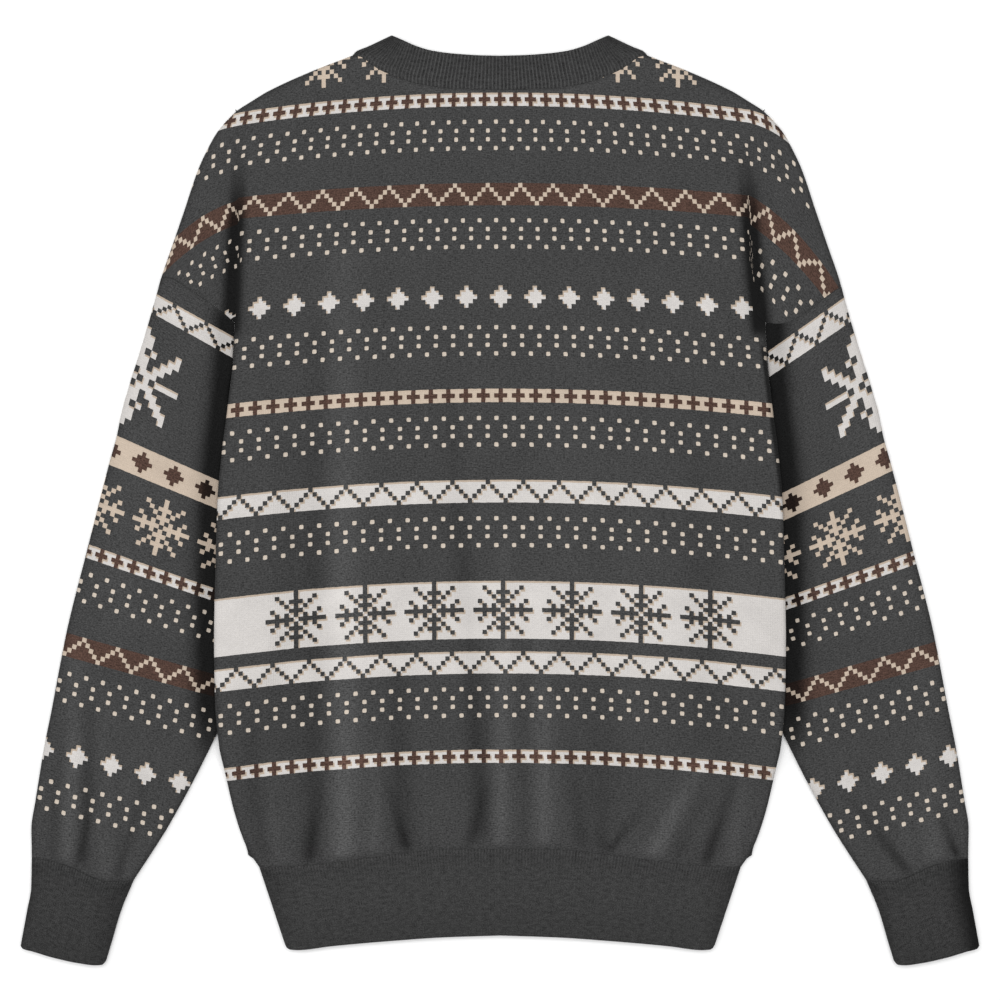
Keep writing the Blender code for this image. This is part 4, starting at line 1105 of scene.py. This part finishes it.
def make_ribbing(name, node, first, last, edges, fades, ribs, look, sizes, widths=None,
                 at_last=None, side=1):
    """A ribbed tube between its seam and its free end."""
    lightness, contrast, reach, edge_shades = look
    columns = ribs[0] * RIB_STEPS + 1, ribs[1] * RIB_STEPS + 1
    plan, heights, shares = flat_tube(first, last, edges, fades, RIB_STATIONS, columns, widths,
                                      at_last)
    grid = plan.shape[:2]
    bend = len(ROUND) - 1
    over, under = np.arange(columns[0]) + bend, np.arange(columns[1]) + 3 * bend - 1 + columns[0]
    crest = np.zeros(grid)
    crest[:, over] = rib_profile(ribs[0], columns[0])
    crest[:, under] = rib_profile(ribs[1], columns[1])
    above = heights >= 0
    seam, end = from_lines(plan, above, first), from_lines(plan, above, last)
    shown = at_least(LEFT_FLAT, ease((reach - seam) / (FLATTENING * reach)))
    fade = ease(seam / RIB_START) * at_least(LEFT_AT_END, ease(end / RIB_END)) * shown
    groove = sizes.rib_groove / MM * (1 - crest)
    rise = np.where(heights > ON_FLAT, sizes.rib_crest / MM * crest - groove, groove)
    rise = rise * (np.abs(heights) > ON_FLAT) * fade
    turns = np.zeros(grid[1])
    turns[over] = np.arange(columns[0]) / RIB_STEPS
    turns[over[-1] + 1:under[0]] = ribs[0]
    turns[under] = ribs[0] + np.arange(columns[1]) / RIB_STEPS
    turns[under[-1] + 1:] = ribs[0] + ribs[1]
    cloth_place = np.stack([np.broadcast_to(turns, grid), seam], -1)
    # Painted shade beside the seam and the free end, at the two sides and towards the free end.
    shade = shadow(seam, *RIB_SEAM_SHADE) + shadow(end, *RIB_END_SHADE)
    across = lengths(last[1])[-1]
    from_sides = shares * across, (1 - shares) * across
    for from_side, (width, depth, power) in zip(from_sides, edge_shades):
        shade = np.maximum(shade, shadow(from_side, depth, width, power))
    shade = np.maximum(shade, RIB_TOWARD_END_SHADE[0] * ease(1 - end / RIB_TOWARD_END_SHADE[1]))
    # The ribbing's lightness, with painted light on the crests, painted shade in the grooves and a
    # painted highlight on the crests beside the seam.
    at_corner = near(np.minimum(*from_sides), CORNER_REACH) * (contrast > BOLD_RIBS)
    softer = 1 - CORNER_LESS * at_corner
    tone = lightness + contrast * softer * (crest ** 2.0 - MIDDLE_TONE) * shown
    tone = tone + (SEAM_HIGHLIGHT - BOLD_HIGHLIGHT_LESS * contrast) * crest * near(seam, SEAM_HIGHLIGHT_REACH)
    flip = np.array([side, 1, 1])
    cloth = Cloth()
    place = tube_rows(plan, heights, np.minimum(seam, end + FREE_END))
    run = tube_seams(above, shares, first, last)
    cloth.add(place * flip, cloth_place, run * flip[:2], shade, tone, rise)
    made = cloth.piece(name, sizes.wall)
    dress(made, node, "ribbing_yarn")


def make_cuff(side, name, sizes):
    """A ribbed cuff, sewn to its sleeve's end."""
    sleeve_end = sleeve_plan(side)[0][0][-1]
    first = shared_ends(moved_line(sleeve_end[:SLEEVE_OUTER], SEAM_GAP),
                        moved_line(sleeve_end[:SLEEVE_OUTER - 2:-1], SEAM_GAP),
                        toward(CUFF_SEAM[0], CUFF_ROWS[1][:2]),
                        toward(CUFF_SEAM[-1], CUFF_ROWS[1][2:]))
    end_line = curve(CUFF_END)
    fades = (lambda s: (1 - s) ** 2, lambda s: s ** 2)
    make_ribbing(name + "_ribbing", name, first, both(end_line), cuff_edges, fades,
                 CUFF_RIBS, CUFF_LOOKS[side], sizes, side=side)


def make_hem(sizes):
    """The ribbed hem, one band round the back and the front."""
    back_row, front_row = (panel_plan(over)[0][-1] for over in (True, False))
    end_line = mirrored_line(HEM_END)
    first = shared_ends(moved_line(back_row, SEAM_GAP), moved_line(front_row, SEAM_GAP),
                        toward(back_row[0], end_line[0]), toward(back_row[-1], end_line[-1]))
    fades = (lambda s: 1 - s, lambda s: s)
    make_ribbing("hem_ribbing", "hem_band", first, both(end_line),
                 straight_edges(first[1], end_line), fades, HEM_RIBS, HEM_LOOK, sizes)


def make_neck(sizes):
    """The ribbed collar, one band round the neck opening."""
    rows = [panel_plan(over)[0][0] for over in (True, False)]
    neck = [row[on_neck(row)] for row in rows]
    last = {1: mirrored_line(BACK_NECK_END), -1: mirrored_line(FRONT_NECK_END)}
    first = shared_ends(moved_line(neck[0], -SEAM_GAP), moved_line(neck[1], -SEAM_GAP),
                        toward(neck[0][0], last[1][0]), toward(neck[0][-1], last[1][-1]))
    straight = straight_edges(first[1], last[1])

    def edges(s):
        left, right = straight(s)
        run = unit(last[1][-1] - first[1][-1])
        bow = table_at(NECK_BOW, 1, s) * np.array([run[1], -run[0]])
        return left + bow * (-1, 1), right + bow

    def width(s, side):
        return lengths(first[side])[-1] * (1 - s) + lengths(last[side])[-1] * s

    def on_free_edge(share):
        return table_at(NECK_FAN, 1, share)

    fades = (lambda s: 1 - s, lambda s: s)
    make_ribbing("neck_ribbing", "neck_rib", first, last, edges, fades, NECK_RIBS, NECK_LOOK,
                 sizes, width, on_free_edge)


# ------------------------------------------------------------------- shading
# A ramp's colours reach from 0 to 1, so each kind of number in the tables of bands is
# divided by one that is larger than all of its kind.
ROW_ROOM, COUNT_ROOM, REPEAT_ROOM, KEY_ROOM, WIDTH_ROOM, MASK_ROOM = 8, 16, 32, 32, 2, 256
# How far the outlines of the figures wander: squares across, mm down.
WANDER = (0.14, 0.5)
# A light yarn shows a tint of fringe this far from another one, and how strongly, and
# how much less where it is beige or cream.
FRINGE_REACH = (0.32, 1.4)
FRINGE, BEIGE_FRINGE_LESS = 0.8, 0.6
SPOT_CORNER = 0.052           # x and y of a spot, to the 4th power, where its corner is cut
ROUNDED_OFF = 0.002           # more than a whole number may come out short by
# The spun yarn's noise: how fine it is across a square and down a mm of cloth.
FLECKS, GRAIN, STREAKS, PATCHES = (0.9, 0.3), (2.5, 1.0), (0.8, 1.1), (0.12, 0.05)
RIB_GRAIN, RIB_STREAKS = (2.4, 1.5), (0.45, 0.5)
# The weights of grain and streaks in colour, and of the soft patches of plain knitting.
KNIT_SPECKLE = (1.7, 1.0)
RIB_SPECKLE = (2.2, 1.1)
PATCHY = 0.2
ROUGHNESS = (0.86, 0.12)      # of the yarn, and how much more in its streaks
# How dark the deepest painted shadow is, and how much lighter a fold of 1 mm is painted,
# then how much less a light yarn has of these and of the speckle.
DARKEST, FOLD_LIGHT = 0.86, 0.24
LIGHT_DARKEST_LESS, LIGHT_FOLD_LESS, LIGHT_SPECKLE_LESS = 0.6, 0.19, 0.85
RIB_DARKEST = 0.85
# The stitches: how many across a square, how steeply their legs lean, and in plain
# knitting and in ribbing the height of a row of them and their depth, in mm.
STITCHES, LEAN = 2, 1.2
COURSE, RIB_COURSE = 1.65, 1.7
BUMP, RIB_BUMP = 0.5, 0.4
# What their columns, their rows, a rib's loops and the yarn's grain add to the height.
COLUMN_HEIGHT, ROW_HEIGHT, LOOP_HEIGHT, GRAIN_HEIGHT = 0.8, 0.9, 0.5, 0.8


def opaque(colour):
    return tuple(colour) + (1.0,)


class Value:
    """A number or colour that varies over a surface, with the usual signs of arithmetic."""

    def __init__(self, finish, socket):
        self.finish, self.socket = finish, socket

    def math(self, operation, *others):
        inputs = dict(enumerate((self,) + others))
        return self.finish.node("ShaderNodeMath", {"operation": operation}, inputs)

    def __add__(self, other):
        return self.math("ADD", other)

    def __mul__(self, other):
        return self.math("MULTIPLY", other)

    __radd__, __rmul__ = __add__, __mul__

    def __sub__(self, other):
        return self.math("SUBTRACT", other)

    def __rsub__(self, other):
        return self.finish.node("ShaderNodeMath", {"operation": "SUBTRACT"}, {0: other, 1: self})

    def __truediv__(self, other):
        return self.math("DIVIDE", other)

    def __abs__(self):
        return self.math("ABSOLUTE")

    def __gt__(self, other):
        return self.math("GREATER_THAN", other)

    def __lt__(self, other):
        return self.math("LESS_THAN", other)

    def floor(self):
        return self.math("FLOOR")

    def wrapped(self, size):
        return self.math("FLOORED_MODULO", size)

    def parts(self):
        """The three parts of a vector or colour."""
        split = self.finish.node("ShaderNodeSeparateXYZ", {}, {0: self}, whole=True)
        return [Value(self.finish, output) for output in split.outputs]

    def scaled(self, by):
        """A vector times three numbers."""
        return self.finish.node("ShaderNodeVectorMath", {"operation": "MULTIPLY"},
                                {0: self, 1: by})


class Finish:
    """The material of one finish, and the nodes that make it."""

    def __init__(self, name):
        self.material = bpy.data.materials.new(name)
        self.material.use_nodes = True
        self.tree = self.material.node_tree
        self.tree.nodes.clear()

    def node(self, kind, settings, inputs, output=0, whole=False):
        """One node: its settings first, then the values or links of its sockets."""
        node = self.tree.nodes.new(kind)
        for key, setting in settings.items():
            if key == "stops":
                self.set_stops(node.color_ramp, setting)
            else:
                setattr(node, key, setting)
        for key, value in inputs.items():
            if isinstance(value, Value):
                self.tree.links.new(value.socket, node.inputs[key])
            else:
                node.inputs[key].default_value = value
        return node if whole or not node.outputs else Value(self, node.outputs[output])

    @staticmethod
    def set_stops(ramp, stops):
        ramp.interpolation = "CONSTANT"
        ramp.elements.remove(ramp.elements[1])
        for index, (at, colour) in enumerate(stops):
            element = ramp.elements.new(at) if index else ramp.elements[0]
            element.position = at
            element.color = colour

    def mix(self, factor, first, second, blend="MIX"):
        """A colour between two, or the second laid on the first."""
        return self.node("ShaderNodeMix", {"data_type": "RGBA", "blend_type": blend},
                         {0: factor, 6: first, 7: second}, output=2)

    def combine(self, *parts):
        return self.node("ShaderNodeCombineXYZ", {}, dict(enumerate(parts)))

    def noise(self, vector, detail, scale=1.0, output=0):
        return self.node("ShaderNodeTexNoise", {"noise_dimensions": "2D"},
                         {"Vector": vector, "Scale": scale, "Detail": detail}, output=output)

    def spun(self, across, down, fineness, detail=2.0, output=0):
        """Noise that follows the cloth."""
        place = self.combine(across * fineness[0], down * fineness[1])
        return self.noise(place, detail, output=output)

    def attribute(self, name):
        """A number kept at each point of the mesh."""
        return self.node("ShaderNodeAttribute", {"attribute_name": name}, {}, output=2)

    def toned(self, colour, tone):
        """A colour made lighter or darker."""
        return self.mix(1.0, colour, self.combine(tone, tone, tone), "MULTIPLY")

    def yarn(self, colour, height, streaks, bump_depth):
        """Dull spun yarn over the given colour and height."""
        roughness = ROUGHNESS[0] + streaks * ROUGHNESS[1]
        bump = self.node("ShaderNodeBump", {}, {"Height": height, "Strength": 0.7,
                                                "Distance": bump_depth * MM})
        shader = self.node("ShaderNodeBsdfPrincipled", {}, {
            "Base Color": colour, "Roughness": roughness, "Normal": bump,
            "Specular IOR Level": 0.06, "Sheen Weight": 0.04, "Sheen Roughness": 0.6})
        self.node("ShaderNodeOutputMaterial", {}, {"Surface": shader})
        return self.material


def motif_keys():
    """Where each motif's rows start in the list of rows, and every row as a number."""
    keys, rows = {}, []
    for name, chart in MOTIFS.items():
        keys[name] = len(rows)
        middle = len(chart[0]) // 2
        centre = len(chart) - 1 if name == "zigzag" else len(chart) // 2
        for fold in range(centre + 1):
            row = chart[centre - fold]
            rows.append(sum(2 ** a for a in range(middle + 1) if row[middle + a] == "#"))
    return keys, rows


def band_stops(bands, keys):
    """The facts of each band as the stops of three ramps down the cloth."""
    stops = {"where": [], "repeat": [], "yarn": []}
    before = -DOWN_SPAN
    for top, row, count, repeat, middle, width, motif, ground, figure, *limit in bands:
        start = max(0.0, (before + top) / 2 / DOWN_SPAN)
        centre = count - 1 if motif == "zigzag" else (count - 1) / 2
        stops["where"].append((start, (top / DOWN_SPAN, row / ROW_ROOM, count / COUNT_ROOM,
                                       centre / COUNT_ROOM)))
        stops["repeat"].append((start, (repeat / REPEAT_ROOM, middle % repeat / REPEAT_ROOM,
                                        width / WIDTH_ROOM, keys[motif] / KEY_ROOM)))
        reach = limit[0] if limit else ALL_ACROSS
        spot = float(motif in ROUND_MOTIFS)
        stops["yarn"].append((start, (ground / YARNS, figure / YARNS, reach / ALL_ACROSS, spot)))
        before = top + row * count
    return stops


def charted(finish, across, down, bands):
    """Number of the yarn at each point: a chart of motifs in bands down the cloth."""
    keys, rows = motif_keys()
    ramps = {}
    for name, stops in band_stops(bands, keys).items():
        ramps[name] = finish.node("ShaderNodeValToRGB", {"stops": stops},
                                  {0: down / DOWN_SPAN}, whole=True)
    colour = {name: Value(finish, ramps[name].outputs[0]) for name in ramps}
    top, row, count = colour["where"].scaled((DOWN_SPAN, ROW_ROOM, COUNT_ROOM)).parts()
    repeat, middle, width = colour["repeat"].scaled((REPEAT_ROOM, REPEAT_ROOM, WIDTH_ROOM)).parts()
    ground, figure, reach = colour["yarn"].scaled((YARNS, YARNS, ALL_ACROSS)).parts()
    spot = Value(finish, ramps["yarn"].outputs[1])
    centre = Value(finish, ramps["where"].outputs[1]) * COUNT_ROOM
    key = Value(finish, ramps["repeat"].outputs[1]) * KEY_ROOM
    down_rows = (down - top) / row
    at_row = down_rows.floor()
    inside = (at_row > -0.5) * (at_row < count - 0.5)
    fold = abs(at_row - centre)
    over_columns = across / width - middle + 0.5
    column = over_columns.floor()
    half = repeat * 0.5
    away = abs((column + half).wrapped(repeat) - half)
    masks = [(index / KEY_ROOM, (row_mask / MASK_ROOM,) * 3 + (1.0,))
             for index, row_mask in enumerate(rows)]
    mask = finish.node("ShaderNodeValToRGB", {"stops": masks},
                       {0: (key + fold + 0.5) / KEY_ROOM}) * MASK_ROOM
    power = finish.node("ShaderNodeMath", {"operation": "POWER"}, {0: 2.0, 1: away})
    on = (mask / power + ROUNDED_OFF).floor().wrapped(2.0) * (abs(across / width) < reach)
    off_x, off_y = over_columns - column - 0.5, down_rows - at_row - 0.5
    off_x, off_y = off_x * off_x, off_y * off_y
    cut = spot * (off_x * off_x + off_y * off_y > SPOT_CORNER)
    return inside * (ground + on * (1 - cut) * (figure - ground))


def patterned_knit(name, bands, yarns, fringe):
    """Plain knitting with its bands of coloured figures."""
    finish = Finish(name)
    cloth = finish.node("ShaderNodeUVMap", {"uv_map": "knit"}, {})
    across, down, _ = cloth.parts()
    wander, lean, _ = finish.spun(across, down, FLECKS, detail=1.0, output=1).parts()
    across_here = across + (wander - 0.5) * WANDER[0]
    down_here = down + (lean - 0.5) * WANDER[1]
    number = charted(finish, across_here, down_here, bands)
    beside = charted(finish, across_here - FRINGE_REACH[0], down_here - FRINGE_REACH[1], bands)
    stops = [(index / YARNS, opaque(yarn)) for index, yarn in enumerate(yarns)]
    colour = finish.node("ShaderNodeValToRGB", {"stops": stops}, {0: (number + 0.5) / YARNS})
    light = (number > 0.5) * (number < BROWN - 0.5)
    at_edge = light * (abs(number - beside) > 0.5)
    fringed = at_edge * (FRINGE - BEIGE_FRINGE_LESS * (number > BEIGE - 0.5))
    colour = finish.mix(fringed, colour, opaque(fringe))
    grain = finish.spun(across, down, GRAIN)
    streaks = finish.spun(across, down, STREAKS)
    patches = finish.spun(across, down, PATCHES)
    speckle = (grain - 0.5) * KNIT_SPECKLE[0] + (streaks - 0.5) * KNIT_SPECKLE[1]
    tone = 1 + speckle * (1 - light * LIGHT_SPECKLE_LESS) + (patches - 0.5) * PATCHY
    colour = finish.toned(colour, tone)
    # Painted shade from the shade layer, and the folds' painted light and shade by their height.
    shaded = 1 - finish.attribute("shade") * (DARKEST - light * LIGHT_DARKEST_LESS)
    raised = 1 + finish.attribute("swell_and_painted_light") * (FOLD_LIGHT - light * LIGHT_FOLD_LESS)
    colour = finish.toned(colour, shaded * raised)
    wale = abs((across * STITCHES).wrapped(1.0) - 0.5)
    course = (down / COURSE + wale * LEAN).wrapped(1.0) - 0.5
    height = ((0.5 - wale) * COLUMN_HEIGHT + (0.25 - course * course) * ROW_HEIGHT
              + grain * GRAIN_HEIGHT)
    return finish.yarn(colour, height, streaks, BUMP)


def ribbed_knit(name, yarn):
    """Ribbing, with painted light on its ribs and painted shade in the grooves and beside its
    seams.
    """
    finish = Finish(name)
    cloth = finish.node("ShaderNodeUVMap", {"uv_map": "knit"}, {})
    across, down, _ = cloth.parts()
    grain = finish.spun(across, down, RIB_GRAIN)
    streaks = finish.spun(across, down, RIB_STREAKS, detail=3.0)
    speckle = (grain - 0.5) * RIB_SPECKLE[0] + (streaks - 0.5) * RIB_SPECKLE[1]
    # Painted shade from the shade layer; the other layer holds the ribs' painted light and shade
    # and the ribbing's own lightness.
    shaded = 1 - finish.attribute("shade") * RIB_DARKEST
    tone = (1 + finish.attribute("swell_and_painted_light") + speckle) * shaded
    colour = finish.toned(opaque(yarn), tone)
    loops = abs((down / RIB_COURSE).wrapped(1.0) - 0.5)
    height = loops * LOOP_HEIGHT + grain * GRAIN_HEIGHT
    return finish.yarn(colour, height, streaks, RIB_BUMP)


def dress(piece, node, finish_name):
    """Gives a piece its material, body, slot and the node that it stands for."""
    piece.data.materials.clear()
    piece.data.materials.append(finish_material(finish_name))
    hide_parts(node)
    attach(piece, "root")


def finish_material(name):
    """The material of that name, made the first time that it is asked for."""
    if name in bpy.data.materials:
        return bpy.data.materials[name]
    colours = bpy.context.scene.sweater_yarns
    yarns = [colours.charcoal, colours.white, colours.beige, colours.cream, colours.brown]
    if name == "ribbing_yarn":
        return ribbed_knit(name, colours.ribbing)
    bands = BODY_BANDS if name == "body_knit" else SLEEVE_BANDS[-1 if "left" in name else 1]
    return patterned_knit(name, bands, yarns, colours.fringe)


# --------------------------------------------------------------------- add-on
class SweaterYarns(bpy.types.PropertyGroup):
    charcoal: FloatVectorProperty(
        name="Charcoal", description="Heather yarn of the body and sleeves",
        default=(0.0488, 0.0488, 0.0489), subtype="COLOR", size=3, min=0.0, max=1.0)
    ribbing: FloatVectorProperty(
        name="Ribbing", description="Yarn of the collar, cuffs and hem",
        default=(0.0386, 0.0386, 0.0386), subtype="COLOR", size=3, min=0.0, max=1.0)
    white: FloatVectorProperty(
        name="White", description="White yarn of the bands and figures",
        default=(0.575, 0.55, 0.53), subtype="COLOR", size=3, min=0.0, max=1.0)
    beige: FloatVectorProperty(
        name="Beige", description="Beige yarn of the bands and figures",
        default=(0.517, 0.427, 0.344), subtype="COLOR", size=3, min=0.0, max=1.0)
    cream: FloatVectorProperty(
        name="Cream", description="Cream yarn of the dots",
        default=(0.565, 0.498, 0.425), subtype="COLOR", size=3, min=0.0, max=1.0)
    fringe: FloatVectorProperty(
        name="Fringe", description="Tint of the light yarns where they meet another",
        default=(0.42, 0.325, 0.235), subtype="COLOR", size=3, min=0.0, max=1.0)
    brown: FloatVectorProperty(
        name="Brown", description="Brown yarn of the bands and figures",
        default=(0.0747, 0.0428, 0.0332), subtype="COLOR", size=3, min=0.0, max=1.0)


class SweaterSizes(bpy.types.PropertyGroup):
    wall: FloatProperty(
        name="Wall", description="Thickness of one layer of cloth",
        default=WALL * MM, unit="LENGTH", min=0.001, max=0.0024)
    rib_crest: FloatProperty(
        name="Rib height", description="Height of a rib over the plain ribbing",
        default=0.00045, unit="LENGTH", min=0.0, max=0.001)
    rib_groove: FloatProperty(
        name="Groove depth", description="Depth of the groove between two ribs",
        default=0.0003, unit="LENGTH", min=0.0, max=0.0008)


class SweaterStage(bpy.types.PropertyGroup):
    camera_height: FloatProperty(
        name="Camera height", description="Height of the camera over the floor",
        default=2.0913, unit="LENGTH", min=0.5, max=10.0)
    lens: FloatProperty(
        name="Lens", description="Focal length in millimetres", default=100.0, min=20.0, max=300.0)
    floor: FloatVectorProperty(
        name="Floor", description="Colour of the floor", default=(0.98, 0.98, 0.98),
        subtype="COLOR", size=3, min=0.0, max=1.0)
    overhead: FloatProperty(
        name="Overhead light", description="Power of the wide light overhead, in watts",
        default=65.0, min=0.0, max=500.0)


class SWEATER_OT_panels(bpy.types.Operator):
    """Make the back and the front"""
    bl_idname = "sweater.panels"
    bl_label = "Make the back and the front"

    def execute(self, context):
        for name, over in (("back", True), ("front", False)):
            make_panel(name, over, context.scene.sweater_sizes)
        return {"FINISHED"}


class SWEATER_OT_sleeves(bpy.types.Operator):
    """Make the two sleeves"""
    bl_idname = "sweater.sleeves"
    bl_label = "Make the sleeves"

    def execute(self, context):
        for side, name in SIDES:
            make_sleeve(side, "sleeve_" + name, context.scene.sweater_sizes)
        return {"FINISHED"}


class SWEATER_OT_cuffs(bpy.types.Operator):
    """Make the two ribbed cuffs"""
    bl_idname = "sweater.cuffs"
    bl_label = "Make the cuffs"

    def execute(self, context):
        for side, name in SIDES:
            make_cuff(side, "cuff_" + name, context.scene.sweater_sizes)
        return {"FINISHED"}


class SWEATER_OT_hem(bpy.types.Operator):
    """Make the ribbed hem"""
    bl_idname = "sweater.hem"
    bl_label = "Make the hem"

    def execute(self, context):
        make_hem(context.scene.sweater_sizes)
        return {"FINISHED"}


class SWEATER_OT_collar(bpy.types.Operator):
    """Make the ribbed collar"""
    bl_idname = "sweater.collar"
    bl_label = "Make the collar"

    def execute(self, context):
        make_neck(context.scene.sweater_sizes)
        return {"FINISHED"}


class SWEATER_OT_stage(bpy.types.Operator):
    """Make the floor, the lights and the camera"""
    bl_idname = "sweater.stage"
    bl_label = "Make the stage"

    def execute(self, context):
        settings = context.scene.sweater_stage
        make_floor(settings)
        make_lights(settings)
        make_camera(settings)
        return {"FINISHED"}


class SWEATER_PT_panel(bpy.types.Panel):
    bl_label = "Christmas sweater"
    bl_idname = "SWEATER_PT_panel"
    bl_space_type = "VIEW_3D"
    bl_region_type = "UI"
    bl_category = "Sweater"

    def draw(self, context):
        scene = context.scene
        for settings in (scene.sweater_sizes, scene.sweater_yarns, scene.sweater_stage):
            for name in settings.bl_rna.properties.keys():
                if name not in ("rna_type", "name"):
                    self.layout.prop(settings, name)
        for operator in OPERATORS:
            self.layout.operator(operator.bl_idname)


FLOOR_SIZE, FLOOR_Z = 8.0, -0.0006      # just under the cloth, in metres
FLOOR_GRAIN, FLOOR_DARKER = 0.04, (0.9, 0.9, 0.9)
# Each lamp: name, place, power against the overhead one, size.
LAMPS = (("overhead", (0.0, 0.3, 2.6), 1.0, 3.0), ("side", (-2.3, 0.8, 1.6), 0.2, 1.6))
SKY = 0.45                              # strength of the pale sky


def make_floor(settings):
    """A pale floor just under the cloth."""
    bpy.ops.object.select_all(action="DESELECT")
    bpy.ops.mesh.primitive_plane_add(size=FLOOR_SIZE, location=(0.0, 0.0, FLOOR_Z))
    floor = bpy.context.object
    bpy.ops.object.transform_apply(location=True, rotation=False, scale=False)
    floor.name = "floor"
    finish = Finish("floor_paint")
    place = finish.node("ShaderNodeTexCoord", {}, {}, output=3)
    grain = finish.noise(place, 2.0, scale=60.0)
    colour = finish.mix(grain * FLOOR_GRAIN, opaque(settings.floor), opaque(FLOOR_DARKER))
    shader = finish.node("ShaderNodeBsdfPrincipled", {}, {"Base Color": colour, "Roughness": 0.9,
                                                          "Specular IOR Level": 0.1})
    finish.node("ShaderNodeOutputMaterial", {}, {"Surface": shader})
    floor.data.materials.append(finish.material)


def make_lights(settings):
    """A wide light overhead, a weak one from the left and a pale sky."""
    for name, place, share, size in LAMPS:
        lamp = bpy.data.lights.new(name, "AREA")
        lamp.energy = settings.overhead * share
        lamp.size = size
        light = bpy.data.objects.new(name, lamp)
        light.location = place
        light.rotation_euler = Vector(place).to_track_quat("Z", "Y").to_euler()
        bpy.context.scene.collection.objects.link(light)
    world = bpy.data.worlds.new("studio")
    world.use_nodes = True
    background = world.node_tree.nodes["Background"]
    background.inputs["Color"].default_value = (1.0, 1.0, 1.0, 1.0)
    background.inputs["Strength"].default_value = SKY
    bpy.context.scene.world = world
    bpy.context.scene.view_settings.view_transform = "Standard"


def make_camera(settings):
    """A camera straight above, the neck at the top of its view."""
    lens = bpy.data.cameras.new("camera")
    lens.lens = settings.lens
    lens.sensor_width = 36.0
    lens.sensor_fit = "HORIZONTAL"
    lens.clip_end = 50.0
    camera = bpy.data.objects.new("camera", lens)
    camera.location = (0.0, 0.0, settings.camera_height)
    bpy.context.scene.collection.objects.link(camera)
    bpy.context.scene.camera = camera


OPERATORS = (SWEATER_OT_panels, SWEATER_OT_sleeves, SWEATER_OT_cuffs, SWEATER_OT_hem,
             SWEATER_OT_collar, SWEATER_OT_stage)
CLASSES = (SweaterSizes, SweaterYarns, SweaterStage) + OPERATORS + (SWEATER_PT_panel,)


def register():
    for cls in CLASSES:
        bpy.utils.register_class(cls)
    bpy.types.Scene.sweater_sizes = PointerProperty(type=SweaterSizes)
    bpy.types.Scene.sweater_yarns = PointerProperty(type=SweaterYarns)
    bpy.types.Scene.sweater_stage = PointerProperty(type=SweaterStage)


def unregister():
    del bpy.types.Scene.sweater_stage
    del bpy.types.Scene.sweater_yarns
    del bpy.types.Scene.sweater_sizes
    for cls in reversed(CLASSES):
        bpy.utils.unregister_class(cls)


def main():
    register()
    bpy.ops.object.select_all(action="DESELECT")
    bpy.ops.sweater.panels()
    bpy.ops.sweater.sleeves()
    bpy.ops.sweater.cuffs()
    bpy.ops.sweater.hem()
    bpy.ops.sweater.collar()
    bpy.ops.sweater.stage()


if __name__ == "__main__":
    main()
